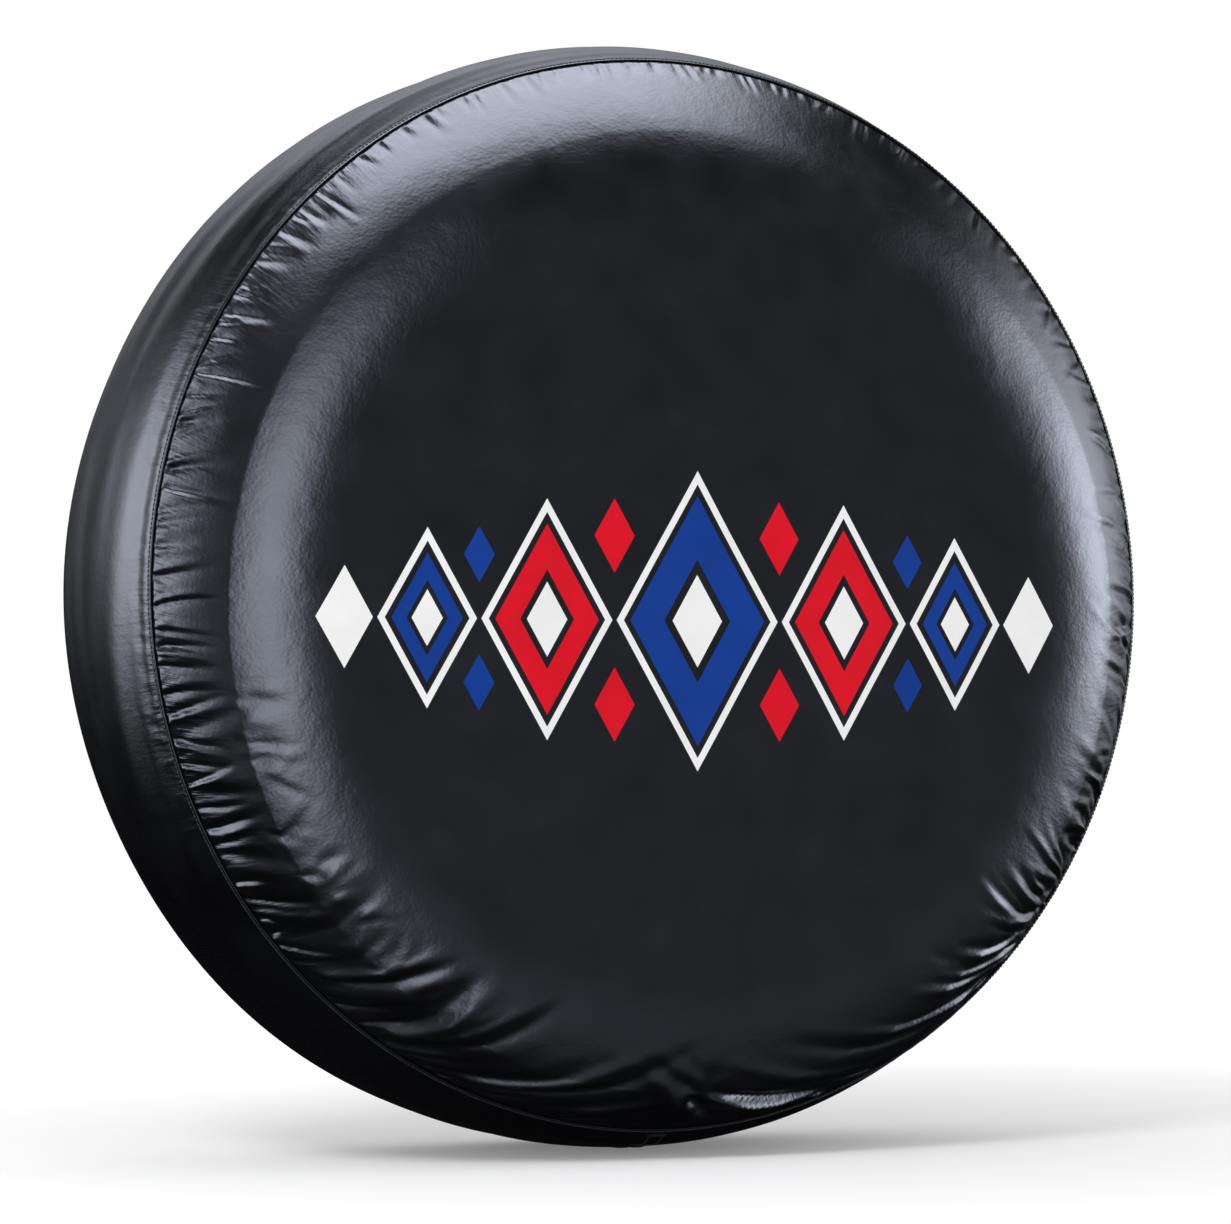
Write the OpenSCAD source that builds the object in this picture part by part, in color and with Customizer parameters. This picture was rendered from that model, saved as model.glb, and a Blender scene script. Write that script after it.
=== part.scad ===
// Spare tire cover: a face disc gathered into a side band, whose back is drawn in by an elastic hem.
// The tire's axis runs along Y, the face looks towards -Y, and the tire goes in from +Y.
// The origin is on that axis, at the middle of the tire's width. Z points up.
// A ring of cloth is [radius, y, tilt, drop share, fold share, steps], where tilt is the angle of the
// outward normal, from 0 facing -Y through 90 facing away from the axis to 180 facing +Y.

/* [Tire space] */
// Outer radius of the band over the tread
cover_r = 369.6; // [366:0.2:373]
// How far the full radius reaches in front of the origin, as a place along Y
seat_front = 2; // [-4:1:8]
// How far the full radius reaches behind the origin, as a place along Y
seat_back = 62; // [56:1:68]
// Radius of the rounded rear shoulder
shoulder_r = 50; // [46:1:54]

/* [Face] */
// Radius of the front seam
seam_r = 352; // [350:0.5:354]
// Depth of the front seam in front of the origin
seam_depth = 68; // [66:0.5:70]
// Depth of the flat middle of the face
face_depth = 122; // [120:0.5:124]
// Radius of the flat middle
flat_r = 246; // [240:1:252]
// Radius of the arc over the tire's sidewall
sidewall_r = 160; // [155:1:170]
// Radius of the ring where the sidewall turns into the tire's shoulder
crease_r = 314.3; // [312:0.1:316]
// How far the tire sits below the middle of the seam
relief_drop = 13; // [0:1:14]

/* [Cloth] */
// Thickness of the vinyl skin
vinyl = 0.9; // [0.7:0.1:1.1]
// Thickness of the fleece behind it
fleece = 0.7; // [0.5:0.1:0.9]
// Width of the band's turned edge over the face
turned_w = 5.5; // [5:0.5:7]
// Radius of the sewing thread
thread_r = 0.4; // [0.3:0.05:0.5]

/* [Gathers] */
// Gathers in the face along the seam, as far as the solid shows them
face_folds = 60; // [48:2:60]
// Height of a face gather above the smooth surface
face_fold_h = 1.6; // [0:0.1:2]
// Folds in the rear return
return_folds = 60; // [48:2:60]
// Height of a rear fold at the hem
return_fold_h = 4; // [1:0.5:4]

/* [Hem] */
// Radius of the relaxed rear opening
opening_r = 236; // [230:1:240]
// Inner radius of the tunnel for the elastic cord
tunnel_r = 3.6; // [3.4:0.1:3.8]
// Radius of the elastic cord
cord_r = 2.5; // [2.2:0.1:2.6]
// Length of the crimp sleeve along the cord
ferrule_l = 14; // [10:1:18]

/* [Label] */
// Width of the blank label
label_w = 40; // [30:1:44]
// Length of the label's hanging flap
label_l = 50; // [35:1:55]

/* [Print] */
// Half the height of the middle diamond
print_half_h = 100; // [90:1:104]
// Width of a diamond as a share of its height
print_aspect = 0.585; // [0.5:0.005:0.6]
// Place of the printed row's middle along Z
print_z = -20; // [-24:1:-16]

/* [Hidden] */
$fn = 72;

skin_color = [0.05, 0.05, 0.06];
fleece_color = [0.62, 0.62, 0.6];
thread_color = [0.1, 0.1, 0.11];
ply_gap = 0.05;
thread_gap = 0.05;
cloth = vinyl + ply_gap + fleece;

// The band's front arc passes through the seam and runs into the straight seat.
front_r = (pow(cover_r - seam_r, 2) + pow(seam_depth + seat_front, 2)) / (2 * (cover_r - seam_r));
front_c = [cover_r - front_r, seat_front];
seam_a = -acos((seam_r - front_c[0]) / front_r);
shoulder_c = [cover_r - shoulder_r, seat_back];

// The rear return is one gentle arc from the shoulder to the hem.
split_a = 28;
return_a = 70;
hem_r = 252;
return_r = (shoulder_c[0] + shoulder_r * cos(return_a) - hem_r) / cos(return_a);
return_c = [hem_r, shoulder_c[1] + (shoulder_r - return_r) * sin(return_a)];
hem_y = return_c[1] + return_r;

// The sidewall arc is tangent to the flat middle and ends at the crease.
crease_tilt = asin((crease_r - flat_r) / sidewall_r);
mid_tilt = crease_tilt / 2;
crest_back = 8;
crest_r = seam_r - crest_back * cos(58);
crest_depth = seam_depth + crest_back * sin(58);

function arc_angle(length) = length / front_r * 180 / PI;
function arc(c, r, a0, a1, n) =
    [for (i = [0:n]) let(a = a0 + (a1 - a0) * i / n) [c[0] + r * cos(a), c[1] + r * sin(a)]];
function reversed(list) = [for (i = [len(list) - 1:-1:0]) list[i]];
function on_arc(c, r, a, drop, fold, steps) =
    [c[0] + r * cos(a), c[1] + r * sin(a), 90 + a, drop, fold, steps];

// Outline of the band at one height above the skin's outer surface, from the seam to the split.
function band_line(off, from_a, to_a) = concat(
    arc(front_c, front_r + off, from_a, 0, 10),
    arc(shoulder_c, shoulder_r + off, 0, to_a, 5));
function band_strip(top, bottom, from_a, to_a) =
    concat(band_line(top, from_a, to_a), reversed(band_line(bottom, from_a, to_a)));

lap_a = seam_a + arc_angle(turned_w);
ramp_a = seam_a + arc_angle(turned_w + 3.5);

// ---- Cloth made of rings ----

function sidewall_y(tilt) = -face_depth + sidewall_r * (1 - cos(tilt));
face_steps = 2 * face_folds;
face_rings = [
    [flat_r, -face_depth, 0, 1, 0, face_folds],
    [flat_r + sidewall_r * sin(mid_tilt), sidewall_y(mid_tilt), mid_tilt, 1, 0, face_folds],
    [crease_r, sidewall_y(crease_tilt), crease_tilt + 4, 1, 0, face_folds],
    [crest_r, -crest_depth, 56, 0.15, 1, face_steps],
    [seam_r, -seam_depth, 60, 0, 0, face_steps]];
margin_ring = on_arc(front_c, front_r, lap_a - 0.3, 0, 0, face_steps);

return_steps = 2 * return_folds;
return_rings = [
    on_arc(shoulder_c, shoulder_r, split_a, 0, 0, return_steps),
    on_arc(shoulder_c, shoulder_r, 50, 0, 0.15, return_steps),
    on_arc(shoulder_c, shoulder_r, return_a, 0, 0.4, return_steps),
    on_arc(return_c, return_r, 80, 0, 0.75, return_steps),
    on_arc(return_c, return_r, 90, 0, 1, return_steps)];

// Every second step is a crest, and the crests differ a little around the ring.
function fold_wave(i) = (i % 2 == 0 ? 1 : -1) * (0.72 + 0.2 * sin(37 * i) + 0.08 * sin(101 * i));
function ring_point(ring, i, inset, fold_h) = let(
    a = 360 * i / ring[5],
    off = ring[4] * fold_h * fold_wave(i) - inset,
    r = ring[0] + off * sin(ring[2]))
    [r * cos(a), ring[1] - off * cos(ring[2]), r * sin(a) - relief_drop * ring[3]];
function side_points(rings, inset, fold_h, capped) = concat(
    capped ? [[0, rings[0][1] + inset, -relief_drop]] : [],
    [for (ring = rings) each [for (i = [0:ring[5] - 1]) ring_point(ring, i, inset, fold_h)]]);

function steps_before(rings, k) = k == 0 ? 0 : steps_before(rings, k - 1) + rings[k - 1][5];
function turned(t, back) = back ? [t[0], t[2], t[1]] : t;

// Triangles between two rings; the second ring has as many steps as the first, or twice as many.
function strip(a, na, b, nb, back) = na == nb
    ? [for (i = [0:na - 1]) let(j = (i + 1) % na)
        each [turned([b + j, b + i, a + i], back), turned([a + j, b + j, a + i], back)]]
    : [for (i = [0:na - 1]) let(j = (i + 1) % na, m = 2 * i + 1, n = (2 * i + 2) % nb)
        each [turned([b + m, b + m - 1, a + i], back), turned([a + j, b + m, a + i], back),
            turned([b + n, b + m, a + j], back)]];
function side_faces(rings, first, capped, back) = let(start = first + (capped ? 1 : 0)) concat(
    capped ? [for (i = [0:rings[0][5] - 1])
        turned([first, start + (i + 1) % rings[0][5], start + i], back)] : [],
    [for (k = [1:len(rings) - 1]) each strip(
        start + steps_before(rings, k - 1), rings[k - 1][5],
        start + steps_before(rings, k), rings[k][5], back)]);

// A closed layer of cloth between two insets below the smooth outer surface.
module cloth_layer(rings, top, bottom, fold_h, capped) {
    last = len(rings) - 1;
    size = steps_before(rings, len(rings)) + (capped ? 1 : 0);
    start = capped ? 1 : 0;
    rim = start + steps_before(rings, last);
    polyhedron(
        points = concat(side_points(rings, top, fold_h, capped), side_points(rings, bottom, fold_h, capped)),
        faces = concat(
            side_faces(rings, 0, capped, false),
            side_faces(rings, size, capped, true),
            strip(rim, rings[last][5], size + rim, rings[last][5], false),
            capped ? [] : strip(0, rings[0][5], size, rings[0][5], true)),
        convexity = 10);
}

// Turns an outline of [radius, y] about the tire's axis.
module around_axis() {
    rotate([-90, 0, 0])
        rotate_extrude() children();
}

// The same for a part of the circle, centred on the lowest point.
module around_bottom(angle) {
    rotate([0, 90 + angle / 2, 0])
        rotate([-90, 0, 0])
            rotate_extrude(angle = angle) children();
}

// ---- Face ----

module face_panel() {
    color(skin_color)
        cloth_layer(concat(face_rings, [margin_ring]), 0, vinyl, face_fold_h, true);
}

module face_backing() {
    color(fleece_color)
        cloth_layer(face_rings, vinyl + ply_gap, cloth, face_fold_h, true);
}

// ---- Side band ----

// The band's front edge is turned under, so it is two layers thick over the face's margin.
module side_band() {
    fold_c = arc(front_c, front_r + vinyl + ply_gap, seam_a, seam_a, 1)[0];
    fold_edge = [for (t = [150:-30:30])
        fold_c + vinyl * [cos(seam_a) * cos(t) + sin(seam_a) * sin(t),
            sin(seam_a) * cos(t) - cos(seam_a) * sin(t)]];
    color(skin_color)
        around_axis()
            polygon(concat(
                fold_edge,
                arc(front_c, front_r + 2 * vinyl + ply_gap, seam_a, lap_a, 2),
                band_line(0, ramp_a, split_a),
                reversed(band_line(-vinyl, ramp_a, split_a)),
                reversed(arc(front_c, front_r + ply_gap, seam_a, lap_a, 2))));
}

// The band's fleece stops behind the face's margin.
module band_backing() {
    color(fleece_color)
        around_axis()
            polygon(band_strip(-vinyl - ply_gap, -cloth, lap_a, split_a));
}

module seam_topstitch() {
    off = front_r + 2 * vinyl + ply_gap + thread_r + thread_gap;
    at = arc(front_c, off, seam_a + arc_angle(2.3), seam_a, 1)[0];
    color(thread_color)
        around_axis()
            translate(at) circle(thread_r);
}

module seam_overlock() {
    from_a = seam_a + arc_angle(1.5);
    to_a = seam_a + arc_angle(8.5);
    color(thread_color)
        around_axis()
            polygon(concat(
                arc(front_c, front_r - cloth - ply_gap, from_a, to_a, 2),
                reversed(arc(front_c, front_r - cloth - 2.4, from_a, to_a, 2))));
}

// ---- Closing seam of the band, at the bottom ----

module closing_lap() {
    lap_w = 25;
    top = -cloth - ply_gap;
    color(skin_color)
        around_bottom(lap_w / cover_r * 180 / PI)
            polygon(band_strip(top, top - vinyl, seam_a + arc_angle(12), split_a));
}

module closing_stitch() {
    row_gap = 10;
    color(thread_color)
        for (side = [-1, 1])
            rotate([0, side * row_gap / 2 / cover_r * 180 / PI, 0])
                around_bottom(2 * thread_r / cover_r * 180 / PI)
                    polygon(band_strip(thread_gap + 2 * thread_r, thread_gap,
                        seam_a + arc_angle(16), split_a - 4));
}

module closing_bartacks() {
    tack_w = 14;
    tack_l = 2;
    front_tack = arc(front_c, front_r, seam_a + arc_angle(13), seam_a + arc_angle(13 + tack_l), 1);
    rear_tack = arc(shoulder_c, shoulder_r, split_a - 3, split_a - 3 + tack_l, 1);
    color(thread_color)
        for (tack = [front_tack, rear_tack])
            around_bottom(tack_w / cover_r * 180 / PI)
                polygon(concat(
                    [for (p = tack) p + [thread_gap, 0]],
                    [for (p = reversed(tack)) p + [thread_gap + 1, 0]]));
}

// ---- Rear return and hem ----

module rear_return() {
    color(skin_color)
        cloth_layer(return_rings, 0, vinyl, return_fold_h, false);
}

module return_backing() {
    color(fleece_color)
        cloth_layer(return_rings, vinyl + ply_gap, cloth, return_fold_h, false);
}

tunnel_at = [opening_r + cloth + tunnel_r, hem_y];
cord_at = [tunnel_at[0] - 0.2, hem_y];
bulb_h = tunnel_r + cloth;
bulb_end = opening_r + 2 * bulb_h;
tail_end = hem_r - 0.5;
land_h = 3;

corner = bulb_h - land_h;
slope_start = [bulb_end - corner + corner * cos(30), land_h + corner * sin(30)];

// Half the casing's thickness at one radius of its tail.
function tail_h(r) = cloth + (slope_start[1] - cloth) * (tail_end - r) / (tail_end - slope_start[0]);

// A tunnel of cloth with a flat sewn tail; its innermost 6 mm are a true cylinder.
module hem_casing() {
    color(skin_color)
        around_axis()
            difference() {
                polygon(concat(
                    arc([opening_r + corner, hem_y - land_h], corner, 180, 270, 4),
                    arc([bulb_end - corner, hem_y - land_h], corner, 270, 330, 3),
                    [[tail_end, hem_y - cloth], [tail_end, hem_y + cloth]],
                    arc([bulb_end - corner, hem_y + land_h], corner, 30, 90, 3),
                    arc([opening_r + corner, hem_y + land_h], corner, 90, 180, 4)));
                translate(tunnel_at) circle(tunnel_r);
            }
}

module hem_stitch() {
    row_r = tail_end - 2.5;
    off = tail_h(row_r) + 1.25 * thread_r + thread_gap;
    color(thread_color)
        for (side = [-1, 1])
            around_axis()
                translate([row_r, hem_y + side * off])
                    circle(thread_r);
}

module elastic_cord() {
    color([0.15, 0.15, 0.16])
        around_axis()
            translate(cord_at) circle(cord_r);
}

// A crimped sleeve over the joined ends of the cord, near the top of the hem.
module cord_ferrule() {
    span = ferrule_l / cord_at[0] * 180 / PI;
    color("silver")
        rotate([0, 150, 0])
            around_bottom(span)
                difference() {
                    translate(cord_at) circle(cord_r + 0.8);
                    translate(cord_at) circle(cord_r + 0.02);
                }
}

// ---- Label ----

label_z = -(opening_r + 7);
label_t = 0.6;
label_y = hem_y + bulb_h + 0.3;

module care_label() {
    color("white")
        translate([-label_w / 2, label_y, label_z - label_l])
            cube([label_w, label_t, label_l]);
}

module label_stitch() {
    row_l = label_w - 4;
    color(thread_color)
        translate([-row_l / 2, label_y + label_t + thread_r + thread_gap, label_z - 1.5])
            rotate([0, 90, 0])
                cylinder(r = thread_r, h = row_l);
}

// ---- Printed row of diamonds ----

ink = 0.3;
frame_w = 5;
row_heights = [1, 0.8, 0.6, 0.35] * print_half_h;

function half_width(k) = row_heights[k] * print_aspect;
function diamond_x(k) = k == 0 ? 0 : diamond_x(k - 1) + half_width(k - 1) + half_width(k);

module diamond(half_w, half_h) {
    polygon([[half_w, 0], [0, half_h], [-half_w, 0], [0, -half_h]]);
}

// A diamond of the row, drawn in from its full size by a margin measured along X.
module row_diamond(k, margin) {
    share = 1 - margin / half_width(k);
    diamond(half_width(k) * share, row_heights[k] * share);
}

module at_both_ends(k) {
    for (side = k == 0 ? [1] : [-1, 1])
        translate([side * diamond_x(k), print_z]) children();
}

module filled_diamond(k) {
    at_both_ends(k)
        difference() {
            row_diamond(k, 2 * frame_w + 1);
            row_diamond(k, 0.6 * half_width(k));
        }
}

// Small diamonds that sit in the notches between two neighbours of the row.
module notch_diamonds(k) {
    notch_x = diamond_x(k) + half_width(k);
    notch_z = 0.68 * row_heights[k + 1];
    notch_h = 0.3 * row_heights[k + 1];
    for (side = [-1, 1], up = [-1, 1])
        translate([side * notch_x, print_z + up * notch_z])
            diamond(notch_h * print_aspect, notch_h);
}

// Keeps the part of a flat drawing that lies on the face, as a film of ink.
module ink_film() {
    film = [for (k = [0:2]) [face_rings[k][0], face_rings[k][1] - ply_gap]];
    outline = concat([[0, film[0][1]]], film);
    reach = 60;
    intersection() {
        rotate([90, 0, 0])
            translate([0, 0, face_depth + 10 - reach])
                linear_extrude(reach) children();
        translate([0, 0, -relief_drop])
            around_axis()
                polygon(concat(
                    [for (p = outline) p - [0, ink]],
                    reversed(outline)));
    }
}

module print_blue() {
    color([0.02, 0.23, 0.58])
        ink_film() {
            filled_diamond(0);
            filled_diamond(2);
            notch_diamonds(1);
        }
}

module print_red() {
    color([0.88, 0.01, 0.12])
        ink_film() {
            filled_diamond(1);
            notch_diamonds(0);
        }
}

module print_white() {
    color([0.99, 0.99, 0.99])
        ink_film() {
            for (k = [0:2]) {
                at_both_ends(k)
                    difference() {
                        row_diamond(k, 1.5);
                        row_diamond(k, 1.5 + frame_w);
                    }
                at_both_ends(k)
                    row_diamond(k, 0.7 * half_width(k));
            }
            at_both_ends(3)
                row_diamond(3, 1.5);
        }
}

face_panel();
face_backing();
side_band();
band_backing();
seam_topstitch();
seam_overlock();
closing_lap();
closing_stitch();
closing_bartacks();
rear_return();
return_backing();
hem_casing();
hem_stitch();
elastic_cord();
cord_ferrule();
care_label();
label_stitch();
print_blue();
print_red();
print_white();
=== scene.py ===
"""Looks of the spare tire cover: skin, lining, seams, elastic hem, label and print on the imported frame.

The tire's axis runs along Y, the face looks towards -Y and Z points up, as in the frame. Sizes inside the
classes are in millimetres, and meshes are written in metres. Cloth is described by an angle round the axis,
from +X through +Z, and by a distance from the front seam: depth runs inwards over the face, and back runs
over the band towards the hem.
"""

import logging
import math
from collections.abc import Callable
from copy import copy
from dataclasses import dataclass, field
from enum import Enum
from itertools import product

import bmesh
import bpy
import numpy as np
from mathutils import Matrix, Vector


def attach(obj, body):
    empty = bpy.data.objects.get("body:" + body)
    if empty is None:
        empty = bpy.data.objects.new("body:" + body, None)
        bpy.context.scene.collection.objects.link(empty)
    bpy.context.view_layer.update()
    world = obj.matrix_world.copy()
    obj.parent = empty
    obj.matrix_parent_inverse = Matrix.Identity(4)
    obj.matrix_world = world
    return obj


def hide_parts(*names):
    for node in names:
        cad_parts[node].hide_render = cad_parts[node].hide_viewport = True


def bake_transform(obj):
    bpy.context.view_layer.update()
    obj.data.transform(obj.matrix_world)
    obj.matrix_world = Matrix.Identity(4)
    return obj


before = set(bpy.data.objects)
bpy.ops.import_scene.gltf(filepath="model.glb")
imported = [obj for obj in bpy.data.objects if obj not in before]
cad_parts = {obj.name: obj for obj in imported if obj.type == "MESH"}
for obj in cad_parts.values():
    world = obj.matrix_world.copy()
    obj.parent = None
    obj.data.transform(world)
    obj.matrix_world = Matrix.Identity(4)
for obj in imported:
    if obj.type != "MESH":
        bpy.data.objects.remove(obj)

MM = 0.001
TURN = 2 * math.pi
BOTTOM = -math.pi / 2
LINING_INSET = 1.65  # from the vinyl's outside to the fleece, in mm
Array = np.ndarray
Material = bpy.types.Material
Node = bpy.types.Node
Piece = bpy.types.Object
Socket = bpy.types.NodeSocket
Tree = bpy.types.NodeTree
log = logging.getLogger("spare_tire_cover")


class Body(str, Enum):
    """The bodies of the frame."""

    COVER = "cover"
    HEM = "hem"
    LABEL = "label"


class Slot(str, Enum):
    """The material slots of the part's record."""

    VINYL = "vinyl"
    FLEECE = "fleece"
    THREAD = "thread"
    ELASTIC = "elastic"
    CRIMP = "crimp_metal"
    RIBBON = "label_cloth"
    BLUE = "blue_ink"
    RED = "red_ink"
    WHITE = "white_ink"


# ---- Colours and nodes ----


def linear(hex_colour: str) -> tuple[float, float, float, float]:
    """Turns an sRGB colour into the linear one that shaders use.

    Args:
        hex_colour: The colour as "#RRGGBB".

    Returns:
        Red, green, blue and an alpha of 1.
    """
    parts = [int(hex_colour[i : i + 2], 16) / 255 for i in (1, 3, 5)]
    red, green, blue = (p / 12.92 if p <= 0.04045 else ((p + 0.055) / 1.055) ** 2.4 for p in parts)
    return red, green, blue, 1.0


def per(size: float) -> float:
    """Gives the scale at which a pattern's cells get a real size.

    Args:
        size: Size of a cell, in mm.

    Returns:
        The scale.
    """
    return 1 / (size * MM)


def add_node(tree: Tree, kind: str, inputs: dict | None = None, **settings: object) -> Node:
    """Adds one node with its settings and links.

    Args:
        tree: The node tree that gets it.
        kind: The node's type name.
        inputs: What goes into each input, by its name or number: a value, a socket, or a node's first output.
        settings: Properties of the node itself.

    Returns:
        The new node.
    """
    node = tree.nodes.new(kind)
    for name, value in settings.items():
        setattr(node, name, value)
    for name, value in (inputs or {}).items():
        if isinstance(value, Node):
            value = value.outputs[0]
        if isinstance(value, Socket):
            tree.links.new(value, node.inputs[name])
        else:
            node.inputs[name].default_value = value
    return node


# ---- Finishes ----


@dataclass(frozen=True)
class Finish:
    """A surface finish: a Principled shader with its constants and patterns, whose sizes are in millimetres.

    Each has two near tones, which a mottle of a given size and detail mixes over a span of its noise.
    """

    name: str
    colour: str = "#FFFFFF"
    shade: str = "#FFFFFF"
    mottle: float = 20.0
    mottle_detail: float = 3.0
    mottle_span: tuple[float, float] = (0.3, 0.7)

    def material(self) -> Material:
        """Makes the finish's material.

        Returns:
            The material.
        """
        made = bpy.data.materials.new(self.name)
        made.use_nodes = True
        tree = made.node_tree
        tree.nodes.clear()
        place = add_node(tree, "ShaderNodeTexCoord").outputs["Object"]
        inputs = self.surface(tree, place)
        if "Base Color" not in inputs:
            inputs["Base Color"] = self.tones(tree, place)
        shader = add_node(tree, "ShaderNodeBsdfPrincipled", inputs)
        add_node(tree, "ShaderNodeOutputMaterial", {"Surface": shader})
        return made

    def tones(self, tree: Tree, place: Socket) -> Socket:
        """Adds the mottle of the finish's two tones.

        Args:
            tree: The material's node tree.
            place: The piece's own coordinates, in metres.

        Returns:
            The colour's socket.
        """
        spots = {"Vector": place, "Scale": per(self.mottle), "Detail": self.mottle_detail}
        low, high = self.mottle_span
        span = {"Value": add_node(tree, "ShaderNodeTexNoise", spots), "From Min": low, "From Max": high}
        factor = add_node(tree, "ShaderNodeMapRange", span)
        mix = {"Factor": factor, 6: linear(self.colour), 7: linear(self.shade)}
        return add_node(tree, "ShaderNodeMix", mix, data_type="RGBA").outputs[2]

    def surface(self, tree: Tree, place: Socket) -> dict[str, object]:
        """Adds the finish's other patterns.

        Args:
            tree: The material's node tree.
            place: The piece's own coordinates, in metres.

        Returns:
            What goes into the Principled shader's inputs, by their names.
        """
        raise NotImplementedError


@dataclass(frozen=True)
class ExpandedVinyl(Finish):
    """Black expanded vinyl on a knitted back, calendered with a fine leather grain and a satin gloss.

    The grain blurs what it mirrors, handling leaves patches a little duller or brighter, and fine creases run
    away from the seam where the cloth is drawn together.
    """

    colour: str = "#040406"
    shade: str = "#0F1014"
    mottle: float = 60.0
    mottle_detail: float = 6.0
    mottle_span: tuple[float, float] = (0.25, 0.75)
    gloss: tuple[float, float] = (0.19, 0.27)
    handling: float = 30.0
    wave: float = 14.0
    # The real grain is about 0.6 mm; it is drawn at 2 mm, the finest that shows at the photograph's size.
    grain: float = 2.0
    crease: float = 3.0

    def surface(self, tree: Tree, place: Socket) -> dict[str, object]:
        """Adds gloss, grain, soft waves and fine creases.

        Args:
            tree: The material's node tree.
            place: The piece's own coordinates, in metres.

        Returns:
            What goes into the Principled shader's inputs, by their names.
        """
        handled = {"Vector": place, "Scale": per(self.handling), "Detail": 2.0}
        handled = add_node(tree, "ShaderNodeTexNoise", handled)
        low, high = self.gloss
        dull = {"Value": handled, "From Min": 0.2, "From Max": 0.8, "To Min": low, "To Max": high}
        cells = {"Vector": place, "Scale": per(self.grain)}
        cells = add_node(tree, "ShaderNodeTexVoronoi", cells, feature="SMOOTH_F1")
        grain = add_node(tree, "ShaderNodeBump", {"Strength": 0.6, "Distance": 0.12 * MM, "Height": cells})
        waves = {"Vector": place, "Scale": per(self.wave), "Detail": 2.0}
        waves = add_node(tree, "ShaderNodeTexNoise", waves)
        waves = {"Strength": 0.5, "Distance": 0.6 * MM, "Height": waves, "Normal": grain}
        waves = add_node(tree, "ShaderNodeBump", waves)
        # Creases run away from the seam, on coordinates that go with the cloth, eight times as long as wide.
        pucker = add_node(tree, "ShaderNodeAttribute", attribute_name="pucker").outputs["Fac"]
        cloth = add_node(tree, "ShaderNodeAttribute", attribute_name="cloth_place").outputs["Vector"]
        drawn = add_node(tree, "ShaderNodeMapping", {"Vector": cloth, "Scale": (1, 1, 0.12)})
        creases = {"Vector": drawn, "Scale": per(self.crease), "Detail": 3.0}
        creases = add_node(tree, "ShaderNodeTexNoise", creases)
        creases = add_node(tree, "ShaderNodeMath", {0: creases, 1: pucker}, operation="MULTIPLY")
        creases = {"Strength": 0.8, "Distance": 1.2 * MM, "Height": creases, "Normal": waves}
        return {
            "Roughness": add_node(tree, "ShaderNodeMapRange", dull),
            "IOR": 1.53,
            "Specular IOR Level": 0.75,
            "Specular Tint": linear("#F3F6FF"),
            "Normal": add_node(tree, "ShaderNodeBump", creases),
        }


@dataclass(frozen=True)
class NappedFleece(Finish):
    """Grey polyester fleece, raised on one side: matt, with a soft bloom at its edges and small pills."""

    colour: str = "#8E8E8B"
    shade: str = "#777773"
    mottle: float = 22.0
    mottle_detail: float = 4.0
    nap: float = 1.8

    def surface(self, tree: Tree, place: Socket) -> dict[str, object]:
        """Adds nap and sheen.

        Args:
            tree: The material's node tree.
            place: The piece's own coordinates, in metres.

        Returns:
            What goes into the Principled shader's inputs, by their names.
        """
        fibres = {"Vector": place, "Scale": per(self.nap), "Detail": 5.0}
        fibres = add_node(tree, "ShaderNodeTexNoise", fibres)
        bumps = {"Strength": 0.7, "Distance": 0.6 * MM, "Height": fibres}
        return {
            "Roughness": 0.95,
            "Specular IOR Level": 0.2,
            "Sheen Weight": 0.35,
            "Sheen Roughness": 0.5,
            "Normal": add_node(tree, "ShaderNodeBump", bumps),
        }


@dataclass(frozen=True)
class BondedThread(Finish):
    """Black bonded polyester thread, three plies twisted and lacquered: satin, and a little knobbly."""

    colour: str = "#1D1F23"
    shade: str = "#33363C"
    mottle: float = 4.0
    mottle_detail: float = 2.0
    twist: float = 0.4

    def surface(self, tree: Tree, place: Socket) -> dict[str, object]:
        """Adds gloss and twist.

        Args:
            tree: The material's node tree.
            place: The piece's own coordinates, in metres.

        Returns:
            What goes into the Principled shader's inputs, by their names.
        """
        plies = {"Vector": place, "Scale": per(self.twist), "Detail": 1.0}
        plies = add_node(tree, "ShaderNodeTexNoise", plies)
        bumps = {"Strength": 0.6, "Distance": 0.15 * MM, "Height": plies}
        return {
            "Roughness": 0.42,
            "Specular IOR Level": 0.5,
            "Normal": add_node(tree, "ShaderNodeBump", bumps),
        }


@dataclass(frozen=True)
class BraidedElastic(Finish):
    """Shock cord: rubber strands in a braided black polyester sleeve, so it is matt with a 1.1 mm weave."""

    colour: str = "#1B1C1F"
    shade: str = "#303237"
    weave: float = 1.1

    def surface(self, tree: Tree, place: Socket) -> dict[str, object]:
        """Adds the braid, which also mixes the two tones.

        Args:
            tree: The material's node tree.
            place: The piece's own coordinates, in metres.

        Returns:
            What goes into the Principled shader's inputs, by their names.
        """
        braid = {"Vector": place, "Scale": per(self.weave)}
        braid = add_node(tree, "ShaderNodeTexVoronoi", braid, feature="F1")
        mix = {"Factor": braid, 6: linear(self.colour), 7: linear(self.shade)}
        bumps = {"Strength": 0.8, "Distance": 0.3 * MM, "Height": braid}
        return {
            "Base Color": add_node(tree, "ShaderNodeMix", mix, data_type="RGBA").outputs[2],
            "Roughness": 0.7,
            "Normal": add_node(tree, "ShaderNodeBump", bumps),
        }


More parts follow.
